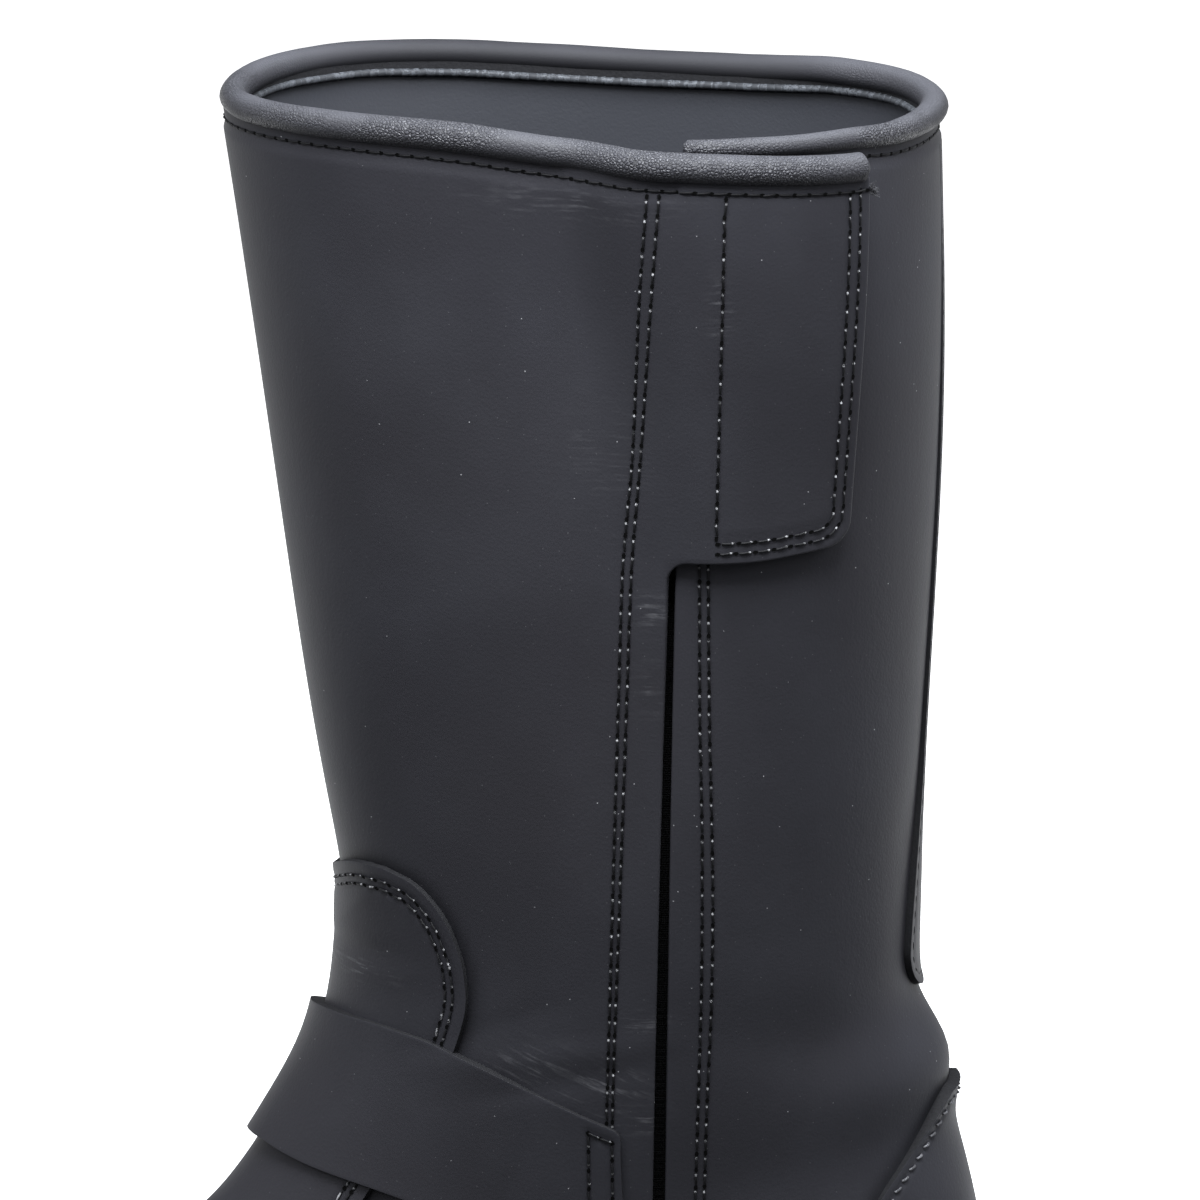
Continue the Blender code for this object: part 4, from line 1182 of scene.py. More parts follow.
def make_upper():
    """The leather upper: rear panel, outer side, front panel and tab in one sheet."""
    shaft_start = skin(BESIDE_SLOT, LOW_TOP)[2]
    low_count = int((TAB_LOW_Z - shaft_start) / SHAFT_STEP)
    high_count = int((RIM_Z - TAB_LOW_Z) / SHAFT_STEP)
    shaft_z = np.concatenate([
        np.linspace(shaft_start, TAB_LOW_Z, low_count)[1:],
        np.linspace(TAB_LOW_Z, RIM_Z, high_count)[1:],
    ])
    heights = np.concatenate([np.linspace(0.0, LOW_TOP, LOW_ROWS), height_at(BESIDE_SLOT, shaft_z)])
    tab_row = LOW_ROWS + low_count - 2
    front, rear = slot_edges(heights)
    ends = np.linspace(0.0, PANEL_ENDS, PANEL_END_COLUMNS)
    between_ends = np.linspace(PANEL_ENDS, 1.0 - PANEL_ENDS, PANEL_COLUMNS)
    share = np.concatenate([ends[:-1], between_ends, 1.0 - ends[-2::-1]])
    way = rear[:, None] + (2.0 + front - rear)[:, None] * share
    height = np.broadcast_to(heights[:, None], way.shape)
    # The tab's columns, whose rows run from its own lower edge to the rim
    across = np.linspace(0.0, 1.0, TAB_COLUMNS + 1)[1:]
    edge_z = skin(front, heights)[..., 2]
    up = np.clip((edge_z - edge_z[tab_row]) / (edge_z[-1] - edge_z[tab_row]), 0.0, 1.0)[:, None]
    high_z = RIM_Z - roll_drop(2.0 + front[-1] + across * (TAB_REAR[1] - front[-1]))
    tab_z = tab_low(across) + up * (high_z - tab_low(across))
    tab_around, tab_height = tab_place(np.broadcast_to(across, tab_z.shape), tab_z)
    # The rounded inner corner between the slot and the tab's lower edge
    radius = TAB_INNER_RADIUS
    below = np.clip(edge_z[tab_row] - edge_z, 0.0, None)
    near = (below <= radius) & (np.arange(len(heights)) <= tab_row)
    turn = np.pi / 4 * (1.0 - below / radius)
    rate = arc_rate(front, heights)
    way[near, -1] = way[near, -1] + (radius * (1.0 - np.cos(turn)) / rate)[near]
    height = height.copy()
    height[near, -1] = height_at(front[near], (edge_z[tab_row] - radius + radius * np.sin(turn))[near])
    beyond = (tab_around[tab_row] - front[tab_row]) * rate[tab_row]
    near = beyond <= radius
    turn = np.pi / 4 * (1.0 + beyond / radius)
    tab_around[tab_row, near] = front[tab_row] + (radius * (1.0 - np.cos(turn)) / rate[tab_row])[near]
    turn_z = tab_z[tab_row] - radius + radius * np.sin(turn)
    tab_height[tab_row, near] = height_at(front[tab_row], turn_z)[near]
    way = np.concatenate([way, 2.0 + tab_around], axis=1)
    height = np.concatenate([height, tab_height], axis=1)
    z = skin(way, height)[..., 2]
    lift = panel_lift(way, height, z)
    points = leather_at(way, height, lift)
    points = points + skin_normal(way, height) * pressed(points, panel_seams)[..., None]
    points[-1, :, 2] += RIM_RISE
    keep = np.ones((len(heights) - 1, way.shape[1] - 1), bool)
    keep[:tab_row, len(share) - 1 :] = False
    faces = grid_faces(*way.shape, keep)
    marks = scuffs_at(way, points)
    # Painted shade on the upper along the vamp's and the counter's edges, carried to the finish as a mark
    edges = [leather_at(*vamp_line(), 0.0), leather_at(*counter_line(), 0.0)]
    marks["edge_shade"] = nearness(points, edges, EDGE_SHADE_REACH)
    piece = add_mesh("leather_upper", points, faces, [LEATHER], marks)
    thicken(piece, UPPER_THICK, UPPER_ROUND)
    settle_piece(piece, "leather", "upper", "closure_tab")


# Rubbed places on the inner side: their middles and half sizes, how strong they are, and whether their
# streaks slant down towards the heel or lie level
Scuff = namedtuple("Scuff", "x z half_x half_z strength slant")
SCUFFS = [
    Scuff(61.5, 213.0, 2.6, 2.4, 1.0, False),
    Scuff(62.5, 198.0, 3.0, 5.0, 0.35, False),
    Scuff(63.5, 133.5, 3.4, 1.6, 1.0, False),
    Scuff(64.0, 114.5, 3.8, 2.2, 1.0, False),
    Scuff(83.0, 124.0, 8.0, 3.6, 0.6, True),
    Scuff(71.0, 120.5, 6.0, 4.0, 0.8, True),
    Scuff(49.5, 270.0, 1.8, 5.0, 0.55, False),
    Scuff(76.0, 288.5, 16.0, 2.6, 0.35, False),
    Scuff(117.0, 137.5, 6.0, 1.8, 0.6, False),
    Scuff(70.0, 240.0, 7.0, 12.0, 0.18, False),
]


def scuffs_at(way, points):
    """How rubbed the leather is at points on the inner side, with level and with slanting streaks."""
    inner = wrapped(way) > 0.0
    marks = {"scuff": np.zeros(way.shape), "slant_scuff": np.zeros(way.shape)}
    for scuff in SCUFFS:
        beside = (points[..., 0] - scuff.x) / scuff.half_x
        over = (points[..., 2] - scuff.z) / scuff.half_z
        key = "slant_scuff" if scuff.slant else "scuff"
        marks[key] = np.maximum(marks[key], scuff.strength * np.exp(-(beside**2 + over**2)) * inner)
    return marks


def note_panel_seams():
    """The rows of stitches on the upper: beside the slot, on the tab and under the roll."""
    rows = []
    for table in (FRONT_ROW, FRONT_ROW_IN):
        z = np.linspace(table[-1][0], table[0][0], 200)
        around, height = table_around(table, z)
        lift = panel_lift(2.0 + around, height, z)
        rows.append(seam_on(around, height, lift, worn=0.55))
    for table in (REAR_ROW, REAR_ROW_OUT):
        z = np.linspace(table[-1][0], table[0][0], 160)
        around, height = table_around(table, z)
        rows.append(seam_on(around, height, 0.0, worn=0.55))
    z = np.linspace(RIM_Z - TAB_ROW_ENDS[0], TAB_LOW_Z + TAB_ROW_ENDS[1], 80)
    rows.append(tab_seam(np.linspace(*TAB_ROW_ACROSS, 80), z, worn=0.5))
    for row in TAB_CORNER_ROWS:
        rows.append(tab_seam(*tab_corner_line(*row), worn=0.5))
    way = np.linspace(*RIM_ROW_WAY, 400)
    height = height_at(wrapped(way), rim_line(way) - DITCH_UNDER)
    lift = panel_lift(way, height, skin(way, height)[..., 2])
    rows.append(seam_on(way, height, lift, pitch=RIM_ROW_PITCH, worn=0.0))
    return rows


panel_seams = note_panel_seams()


# Overlays: vamp, heel counter, back stay and instep strap
def pulled(count, pull):
    """Shares from -1 to 1 that lie closer together near both ends."""
    share = np.linspace(-1.0, 1.0, count)
    return share + pull * np.sin(np.pi * share) / np.pi


def throat_height(around, height):
    """A vamp row's height, which dips a little over the middle of the throat."""
    middle = 1.0 - smooth(np.abs(around - THROAT_DIP_AROUND) / THROAT_DIP_HALF)
    return height - THROAT_DIP * middle * ramp(height, (THROAT_DIP_START, VAMP_TOP))


def overlay(node, around, height, lift, thickness, rows, rubbed=True):
    """A leather overlay on a grid of places, pressed in along its rows of stitches."""
    points = leather_at(around, height, lift)
    points = points + skin_normal(around, height) * pressed(points, rows)[..., None]
    faces = grid_faces(*points.shape[:2])
    marks = scuffs_at(around, points) if rubbed else None
    # Rims take the near-black edge finish: dye, and partly painted shade along the overlays' edges
    piece = add_mesh("leather_" + node, points, faces, [LEATHER, BLACK_EDGE_AND_SHADE], marks)
    thicken(piece, thickness, OVERLAY_ROUND, rim_material=1)
    settle_piece(piece, "leather", node)


VAMP_LOW_ROWS = np.linspace(OVERLAY_FOOT, VAMP_FINE_FROM, 84)
VAMP_ROWS = np.concatenate([VAMP_LOW_ROWS[:-1], np.linspace(VAMP_FINE_FROM, VAMP_TOP, 38)])
COUNTER_ROWS = np.linspace(OVERLAY_FOOT, COUNTER_TOP, 70)


def vamp_line():
    """The vamp's edge, up the inner side, over the throat and down the outer side: places and heights."""
    edge = edge_around(VAMP_EDGE, VAMP_ROWS)
    top = np.linspace(edge[-1], -edge[-1], 40)[1:-1]
    line = np.concatenate([edge, top, -edge[::-1]])
    height = np.concatenate([VAMP_ROWS, np.full(len(top), VAMP_TOP), VAMP_ROWS[::-1]])
    return line, throat_height(line, height)


def vamp_lift(around, height):
    """How far the vamp's face lies over the upper, more at the front than at the sides and at the throat."""
    lip = VAMP_LIP_SHARE * ramp(height, VAMP_LIP)
    return between(VAMP_LIFT, np.maximum(ramp(np.abs(around), VAMP_FRONT), lip))


def make_vamp():
    """The vamp over the front, up to the rounded throat."""
    rows = VAMP_ROWS[:, None]
    around = pulled(97, EDGE_PULL) * edge_around(VAMP_EDGE, rows)
    line, line_height = vamp_line()
    lift = vamp_lift(line, line_height)
    sewn = []
    for inset in VAMP_INSETS:
        sewn.append(seam_inside(line, line_height, inset, lift, pitch=FINE_PITCH, worn=0.7))
    height = throat_height(around, rows)
    overlay("vamp", around, height, vamp_lift(around, height), OVERLAY_DEPTH, sewn)


def counter_line():
    """The heel counter's edge, up the inner side and down the outer side: places and heights."""
    edge = edge_around(COUNTER_EDGE, COUNTER_ROWS)
    top = np.linspace(edge[-1], 2.0 - edge[-1], 9)[1:-1]
    line = np.concatenate([edge, top, 2.0 - edge[::-1]])
    return line, np.concatenate([COUNTER_ROWS, np.full(len(top), COUNTER_TOP), COUNTER_ROWS[::-1]])


def counter_lift(around, height):
    """How far the heel counter's face lies over the upper, more at the back and at its peak."""
    lift = between(COUNTER_LIFT, ramp(np.abs(around - 1.0), COUNTER_BACK))
    return lift + COUNTER_FLARE * ramp(height, COUNTER_FLARE_FROM)


def make_counter():
    """The heel counter, with its peaked top at the back seam and a row of short slanting stitches."""
    rows = COUNTER_ROWS[:, None]
    around = 1.0 + pulled(81, EDGE_PULL) * (1.0 - edge_around(COUNTER_EDGE, rows))
    height = np.broadcast_to(rows, around.shape)
    line, line_height = counter_line()
    facts = {"pitch": COUNTER_PITCH, "worn": 0.9, "slant": COUNTER_SLANT, "keep": False}
    lift = counter_lift(line, line_height)
    sewn = [seam_inside(line, line_height, COUNTER_INSET, lift, **facts)]
    overlay("heel_counter", around, height, counter_lift(around, height), OVERLAY_DEPTH, sewn)
    return sewn


def stay_around(height, offset):
    """Where round the ring lies a distance along it from the back seam."""
    fine = np.linspace(0.8, 1.2, 401)
    distance = line_length(skin(fine, height))
    return np.interp(offset, distance - np.interp(1.0, fine, distance), fine)


def make_backstay():
    """The strip over the back seam, with a round lower end and a row of stitches inside each edge."""
    turn = np.radians(np.linspace(3.0, 90.0, 20))
    straight = np.linspace(STAY_Z[0] + STAY_HALF, STAY_Z[1], 116)[1:]
    rows_z = np.concatenate([STAY_Z[0] + STAY_HALF * (1.0 - np.cos(turn)), straight])
    half = np.concatenate([STAY_HALF * np.sin(turn), np.full(len(straight), STAY_HALF)])
    half = np.minimum(half, between((STAY_HALF, STAY_NARROW), ramp(rows_z, STAY_TAPER_Z)))
    heights = height_at(1.0, rows_z)
    share = pulled(31, 0.3)
    around = np.stack([stay_around(height, share * size) for height, size in zip(heights, half)])
    height = np.broadcast_to(heights[:, None], around.shape)
    lift = curve(STAY_LIFT, rows_z)
    line = np.concatenate([around[::-1, 0], around[:, -1]])
    line_height = np.concatenate([heights[::-1], heights])
    line_lift = np.concatenate([lift[::-1], lift]) - STAY_SUNK
    sewn = [seam_inside(line, line_height, STAY_INSET, line_lift, pitch=STAY_PITCH, worn=0.2)]
    overlay("backstay", around, height, lift[:, None], OVERLAY_DEPTH, sewn)


def strap_lift(around):
    """How far the strap's face lies over the upper: most at the front, least beside the vamp."""
    return curve(STRAP_LIFT, np.abs(around))


def strap_height(around, share):
    """The height at a place round the boot, a share of the way up the strap."""
    low = curve([(place.around, place.low_z) for place in STRAP], around)
    high = curve([(place.around, place.high_z) for place in STRAP], around)
    return height_at(around, low + (high - low) * share)


def strap_end(share, side, inset=0.0):
    """Where round the boot the strap's upright end on a side lies, or a line inside it."""
    around = np.full(np.shape(share), STRAP_END_GUESS)
    for _ in range(8):
        around = around_at(strap_height(side * around, share), STRAP_END_X + inset)
    return side * around


def make_strap():
    """The instep strap over vamp and upper, sewn down at both ends."""
    share = (pulled(33, 0.35) + 1.0)[:, None] / 2.0
    columns = pulled(241, 0.3)
    around = np.abs(columns) * np.where(columns > 0.0, strap_end(share, 1.0), strap_end(share, -1.0))
    from_end = (1.0 - np.abs(columns)) * STRAP_HALF_LENGTH
    corner = np.clip(1.0 - from_end / STRAP_CORNER, 0.0, 1.0)
    cut = STRAP_CORNER / STRAP_WIDTH * (1.0 - np.sqrt(1.0 - CORNER_FULLNESS * corner**2))
    height = strap_height(around, cut + share * (1.0 - 2.0 * cut))
    sewn = []
    for side in (1.0, -1.0):
        upright = np.linspace(*STRAP_ROW_SPAN, 40)
        for inset in STRAP_ROWS:
            place = strap_end(upright, side, inset)
            sewn.append(seam_on(place, strap_height(place, upright), strap_lift(place), worn=0.5))
        for level in STRAP_ROW_SPAN:
            level = np.full(8, level)
            place = strap_end(level, side, np.linspace(*STRAP_ROWS, 8))
            facts = {"pitch": STRAP_CROSS_PITCH, "worn": 0.3}
            sewn.append(seam_on(place, strap_height(place, level), strap_lift(place), **facts))
    overlay("instep_strap", around, height, strap_lift(around), STRAP_DEPTH, sewn, rubbed=False)


# Collar: the roll, its inner leg and the lining
def make_roll():
    """The rolled collar binding, which ends on the tab and overlaps its own start."""
    stations = 460
    sides = 22
    way = np.linspace(ROLL_START, ROLL_END, stations)
    out = rim_value("out", way) + ROLL_OUT * ramp(way, ROLL_STEP)
    size = rim_value("radius", way)
    rim = np.full(way.shape, float(RIM))
    middle = skin(way, rim) + skin_normal(way, rim, level=True) * out[:, None]
    middle[:, 2] = rim_line(way) + GAP + size + ROLL_SWAY * noise_rows(5, stations, 26)
    along = unit(np.gradient(middle, axis=0))
    side = unit(np.cross(along, (0.0, 0.0, 1.0)))
    over = np.cross(side, along)
    turn = 2.0 * np.pi * np.arange(sides) / sides
    distance = line_length(middle)
    from_end = np.minimum(distance, distance[-1] - distance)
    ends = np.sqrt(1.0 - np.clip(1.0 - from_end, 0.0, 1.0) ** 2)
    radius = size * between((ROLL_END_SHARE, 1.0), ends)
    radius = radius + ROLL_LUMPS * noise_rows(8, stations, 9) + ROLL_FINE_LUMPS * noise_rows(9, stations, 2)
    radius = radius[:, None] * (1.0 - ROLL_FLAT * np.clip(-np.sin(turn), 0.0, 1.0))
    spoke = np.cos(turn)[:, None] * side[:, None] + np.sin(turn)[:, None] * over[:, None]
    rings = middle[:, None] + radius[..., None] * spoke
    points = np.concatenate([rings.reshape(-1, 3), middle[:1], middle[-1:]])
    faces = []
    for row in range(stations - 1):
        for number in range(sides):
            after = (number + 1) % sides
            low = row * sides
            faces.append([low + number, low + after, low + sides + after, low + sides + number])
    first = stations * sides
    last_row = (stations - 1) * sides
    for number in range(sides):
        after = (number + 1) % sides
        faces.append([first, after, number])
        faces.append([first + 1, last_row + number, last_row + after])
    # How far each point of the roll faces up, for the painted highlight and shade in its finish
    crest = np.append(np.tile(np.sin(turn), stations), [0.0, 0.0])
    piece = add_mesh("collar_roll", points, faces, [ROLL_LEATHER], {"crest": crest})
    turn_outwards(piece)
    piece.data.shade_smooth()
    settle_piece(piece, "binding_leather", "collar_binding")


def turn_outwards(piece):
    """Recalculates a closed mesh's normals."""
    work = bmesh.new()
    work.from_mesh(piece.data)
    bmesh.ops.recalc_face_normals(work, faces=work.faces)
    if work.calc_volume(signed=True) < 0.0:
        bmesh.ops.reverse_faces(work, faces=work.faces)
    work.to_mesh(piece.data)
    work.free()


def make_facing():
    """The roll's inner leg, a strip inside the collar with a pale sewn edge, near black as painted shade
    under the roll.
    """
    way = np.linspace(*FACING_WAY, 300)
    share = np.linspace(0.0, 1.0, 10)[:, None]
    z = rim_line(way) + between(FACING_Z, share) + FACING_SWAY * noise_rows(12, 300, 12) * (1.0 - share)
    around = np.broadcast_to(way, z.shape)
    height = height_at(around, np.minimum(z, rim_line(way)))
    points = skin(around, height) + skin_normal(around, height) * FACING_OUT
    points[..., 2] = z
    inside = points - skin_normal(around, height) * FACING_THICK
    # Near-black edge finish on the facing: painted shade under the roll
    piece = add_mesh("collar_facing", points, grid_faces(*points.shape[:2]), [BLACK_EDGE_AND_SHADE])
    thicken(piece, FACING_THICK, SHEET_ROUND, segments=2)
    settle_piece(piece, "binding_leather")
    normals = -skin_normal(way, height[1])
    return [add_seam(inside[1], normals, pitch=FACING_PITCH, worn=1.0, keep=False)]


def make_lining():
    """The lining inside the upper, open at the slot."""
    heights = np.concatenate([np.linspace(LINING_FOOT, LOW_TOP, 34), np.linspace(LOW_TOP, RIM, 60)[1:]])
    front, rear = slot_edges(heights)
    share = np.linspace(0.0, 1.0, 181)
    way = rear[:, None] + (2.0 + front - rear)[:, None] * share
    height = np.broadcast_to(heights[:, None], way.shape)
    points = leather_at(way, height, LINING_OUT)
    points[-1, :, 2] += RIM_RISE
    piece = add_mesh("shaft_lining", points, grid_faces(*way.shape), [LINING])
    thicken(piece, LINING_THICK, SHEET_ROUND, segments=2)
    settle_piece(piece, "insole_board")


# Zip
def make_zip():
    """The zip's tape behind the slot; gives back the coil's line and the way it faces."""
    z = np.linspace(*ZIP_Z, 150)
    middle = np.full(z.shape, SLOT_GUESS)
    for _ in range(6):
        height = height_at(middle, z)
        middle = slot_around(height)
    across = np.linspace(-0.5, 0.5, 25) * TAPE_WIDTH
    around = middle[:, None] + across / arc_rate(middle, height)[:, None]
    full = np.broadcast_to(height[:, None], around.shape)
    points = skin(around, full) + skin_normal(around, full) * TAPE_OUT
    piece = add_mesh("zip_tape_strip", points, grid_faces(*points.shape[:2]), [SHADED_TAPE])
    thicken(piece, TAPE_THICK, TAPE_ROUND, segments=2)
    settle_piece(piece, "zip_tape", "zip")
    normals = skin_normal(middle, height)
    return skin(middle, height) + normals * (TAPE_OUT - COIL_IN), normals


# Sole
def sole_edge(s):
    """How far the sole stands out past the upper at a share of its length."""
    return between((EDGE_HEEL, EDGE_FORE), ramp(s, EDGE_BLEND))


def sole_around(x):
    """Where round the featherline the distance from the back is x."""
    return around_at(np.zeros(np.shape(x)), np.asarray(x, float))


def sole_place(around, across, outward, under):
    """A grid of points under the featherline, from the outer to the inner edge of the sole."""
    around = np.asarray(around, float)
    ground = np.zeros(around.shape)
    outward = outward(length_share(around))[:, None]
    inner = skin(around, ground) + skin_normal(around, ground, level=True) * outward
    outer = skin(-around, ground) + skin_normal(-around, ground, level=True) * outward
    share = np.asarray(across, float)[None, :, None]
    grid = outer[:, None] * (1.0 - share) + inner[:, None] * share
    grid[..., 2] -= under
    return grid


def plate(name, top, base, low, lugs, material, rounding):
    """A plate from a top grid to a base grid, whose lug cells go on down to the low grid."""
    rows, columns = top.shape[:2]
    layer = rows * columns

    def lug(row, column):
        return 0 <= row < rows - 1 and 0 <= column < columns - 1 and lugs[row, column]

    faces = []
    for row in range(rows - 1):
        for column in range(columns - 1):
            first = row * columns + column
            corners = [first, first + 1, first + columns + 1, first + columns]
            faces.append(corners)
            depth = 2 * layer if lug(row, column) else layer
            faces.append([corner + depth for corner in reversed(corners)])
            sides = [(row - 1, column), (row, column + 1), (row + 1, column), (row, column - 1)]
            for side, (next_row, next_column) in enumerate(sides):
                start = corners[side]
                end = corners[(side + 1) % 4]
                inside = 0 <= next_row < rows - 1 and 0 <= next_column < columns - 1
                if not inside:
                    faces.append([end, start, start + layer, end + layer])
                if lug(row, column) and not lug(next_row, next_column):
                    faces.append([end + layer, start + layer, start + 2 * layer, end + 2 * layer])
    points = np.concatenate([top.reshape(-1, 3), base.reshape(-1, 3), low.reshape(-1, 3)])
    piece = add_mesh(name, points, faces, [material])
    turn_outwards(piece)
    return round_edges(piece, rounding, 2, 40.0)


def finer(values, parts):
    """Values with each gap split into equal parts."""
    values = np.asarray(values, float)
    split = values[:-1, None] + np.diff(values)[:, None] * np.arange(parts) / parts
    return np.append(split.reshape(-1), values[-1])


PLATE_AROUND = np.linspace(0.0, 1.0, 121)
PLATE_ACROSS = np.linspace(0.0, 1.0, 9)
PLAIN = np.zeros((len(PLATE_AROUND) - 1, len(PLATE_ACROSS) - 1), bool)


def make_midsole():
    """The welted midsole, whose edge shows round the upper, and its row of welt stitches."""
    top = sole_place(PLATE_AROUND, PLATE_ACROSS, sole_edge, GAP)
    base = sole_place(PLATE_AROUND, PLATE_ACROSS, sole_edge, GAP + MIDSOLE_THICK)
    piece = plate("midsole_edge", top, base, base, PLAIN, SOLE_EDGE, MIDSOLE_ROUND)
    settle_piece(piece, "sole_edge", "midsole")
    around = np.linspace(-WELT_AROUND, WELT_AROUND, 400)
    ground = np.zeros(around.shape)
    outward = sole_edge(length_share(around)) - WELT_INSET
    line = skin(around, ground) + skin_normal(around, ground, level=True) * outward[:, None]
    line[:, 2] -= GAP
    normals = np.broadcast_to((0.0, 0.0, 1.0), line.shape)
    return [add_seam(line, normals, pitch=WELT_PITCH, worn=0.8, keep=False)]


def make_insole():
    """The footbed inside the upper."""

    def inset(s):
        return np.full(s.shape, INSOLE_INSET)

    top = sole_place(PLATE_AROUND, PLATE_ACROSS, inset, -INSOLE_THICK)
    base = sole_place(PLATE_AROUND, PLATE_ACROSS, inset, 0.0)
    piece = plate("footbed", top, base, base, PLAIN, FOOTBED, INSOLE_ROUND)
    settle_piece(piece, "insole_board", "insole")


def make_outsole():
    """The outsole with lugs under the toe and the ball."""
    toe = np.linspace(0.0, TOE_LUG_AROUND, 7)
    lug_front = between((FEATHER.back_x, FEATHER.front_x), length_share(toe[-1]))
    pitch = LUG_LENGTH + LUG_GROOVE
    starts = lug_front - LUG_GROOVE - pitch * np.arange(LUG_ROWS)
    lug_edges = np.stack([starts, starts - LUG_LENGTH], axis=1).reshape(-1)
    waist = np.linspace(sole_around(lug_edges[-1]), 1.0, 14)[1:]
    coarse = np.concatenate([toe, sole_around(lug_edges), waist])
    coarse_lugs = np.zeros((len(coarse) - 1, len(LUG_ACROSS) - 1), bool)
    coarse_lugs[: len(toe) - 1] = True
    coarse_lugs[len(toe) + 2 * np.arange(LUG_ROWS), ::2] = True
    parts = 4
    around = finer(coarse, parts)
    lugs = np.repeat(coarse_lugs, parts, axis=0)
    under = GAP + MIDSOLE_THICK + GAP
    top = sole_place(around, LUG_ACROSS, sole_edge, under)
    base = sole_place(around, LUG_ACROSS, sole_edge, under + OUTSOLE_THICK)
    low = base.copy()
    low[..., 2] = np.maximum(0.0, low[..., 2] - LUG_DEPTH)
    piece = plate("lugged_outsole", top, base, low, lugs, RUBBER, RUBBER_ROUND)
    settle_piece(piece, "rubber", "outsole")


def make_heel():
    """The heel block with a hollow breast and two grooves along its foot."""
    around = np.linspace(1.0, sole_around(HEEL_BREAST_X), 57)
    under = GAP + MIDSOLE_THICK + GAP + OUTSOLE_THICK + GAP
    top = sole_place(around, HEEL_ACROSS, lambda s: sole_edge(s) - GAP, under)
    base = sole_place(around, HEEL_ACROSS, lambda s: sole_edge(s) - GAP - HEEL_TAPER, under)
    share = np.asarray(HEEL_ACROSS)
    hollow = HEEL_BREAST_HOLLOW * (1.0 - (2.0 * share - 1.0) ** 2)
    forward = ramp(around, (around[0], around[-1]))[:, None]
    top[..., 0] -= hollow * forward
    base[..., 0] -= hollow * forward
    low = base.copy()
    base[..., 2] = HEEL_GROOVE_DEPTH
    low[..., 2] = 0.0
    lugs = np.zeros((len(around) - 1, len(share) - 1), bool)
    lugs[:, ::2] = True
    lugs[:HEEL_SOLID_ROWS] = True
    piece = plate("heel_block", top, base, low, lugs, RUBBER, RUBBER_ROUND)
    settle_piece(piece, "rubber", "heel")


# Stitches, needle holes and the zip's coil, repeated along their lines
def repeat_tree(name, shape, sizes, material):
    """A node tree that puts a small shape on every point, turned by the points' own directions."""
    tree = bpy.data.node_groups.new(name, "GeometryNodeTree")
    tree.interface.new_socket("Geometry", in_out="INPUT", socket_type="NodeSocketGeometry")
    for size, value in sizes.items():
        socket = tree.interface.new_socket(size, in_out="INPUT", socket_type="NodeSocketFloat")
        socket.default_value = value
    tree.interface.new_socket("Geometry", in_out="OUTPUT", socket_type="NodeSocketGeometry")
    nodes = Nodes(tree)
    given = nodes.add("NodeGroupInput")
    values = {size: Value(nodes, given.outputs[size]) for size in sizes}
    along = nodes.add("GeometryNodeInputNamedAttribute", {"data_type": "FLOAT_VECTOR"}, {"Name": "along"})
    out = nodes.add("GeometryNodeInputNamedAttribute", {"data_type": "FLOAT_VECTOR"}, {"Name": "out"})
    turn = nodes.add(
        "FunctionNodeAxesToRotation",
        {"primary_axis": "X", "secondary_axis": "Z"},
        {0: along.outputs[0], 1: out.outputs[0]},
    )
    each = nodes.add(
        "GeometryNodeInstanceOnPoints",
        None,
        {"Points": given.outputs[0], "Instance": shape(nodes, values), "Rotation": turn.outputs[0]},
    )
    real = nodes.add("GeometryNodeRealizeInstances", None, {0: each.outputs[0]})
    painted = nodes.add("GeometryNodeSetMaterial", None, {"Geometry": real.outputs[0], "Material": material})
    nodes.add("NodeGroupOutput", None, {0: painted.outputs[0]})
    return tree


def thread_shape(nodes, values):
    """A bowed bit of thread along X."""

    def corner(x, z):
        return nodes.add("ShaderNodeCombineXYZ", None, {0: x, 2: z}).outputs[0]

    half = values["Length"] * 0.5
    bow = nodes.add(
        "GeometryNodeCurveQuadraticBezier",
        None,
        {
            "Resolution": 5,
            "Start": corner(-half, values["Rise"] * -0.6),
            "Middle": corner(0.0, values["Rise"] * 1.4),
            "End": corner(half, values["Rise"] * -0.6),
        },
    )
    share = nodes.add("GeometryNodeSplineParameter").outputs["Factor"]
    marked = nodes.add(
        "GeometryNodeStoreNamedAttribute",
        {"data_type": "FLOAT", "domain": "POINT"},
        {"Geometry": bow.outputs[0], "Name": "along_stitch", "Value": share},
    )
    ring = nodes.add("GeometryNodeCurvePrimitiveCircle", None, {"Resolution": 6, "Radius": values["Radius"]})
    return nodes.add(
        "GeometryNodeCurveToMesh",
        None,
        {"Curve": marked.outputs[0], "Profile Curve": ring.outputs[0], "Fill Caps": True},
    ).outputs[0]


def hole_shape(nodes, values):
    """A small flat disc of painted shade over a needle hole, a little longer than wide."""
    sockets = {"Vertices": 8, "Radius": values["Radius"]}
    disc = nodes.add("GeometryNodeMeshCircle", {"fill_type": "NGON"}, sockets)
    size = nodes.add("ShaderNodeCombineXYZ", None, {0: 1.35, 1: 0.9, 2: 1.0}).outputs[0]
    place = nodes.add("ShaderNodeCombineXYZ", None, {2: values["Rise"]}).outputs[0]
    return nodes.add(
        "GeometryNodeTransform", None, {"Geometry": disc.outputs[0], "Translation": place, "Scale": size}
    ).outputs[0]


def coil_shape(nodes, values):
    """One turn of the zip's coil, lying across it."""
    ring = nodes.add("GeometryNodeCurvePrimitiveCircle", None, {"Resolution": 8, "Radius": values["Reach"]})
    flat = nodes.add("ShaderNodeCombineXYZ", None, {0: 0.36, 1: 1.0, 2: 1.0}).outputs[0]
    bent = nodes.add("GeometryNodeTransform", None, {"Geometry": ring.outputs[0], "Scale": flat})
    wire = nodes.add("GeometryNodeCurvePrimitiveCircle", None, {"Resolution": 5, "Radius": values["Radius"]})
    return nodes.add(
        "GeometryNodeCurveToMesh", None, {"Curve": bent.outputs[0], "Profile Curve": wire.outputs[0]}
    ).outputs[0]


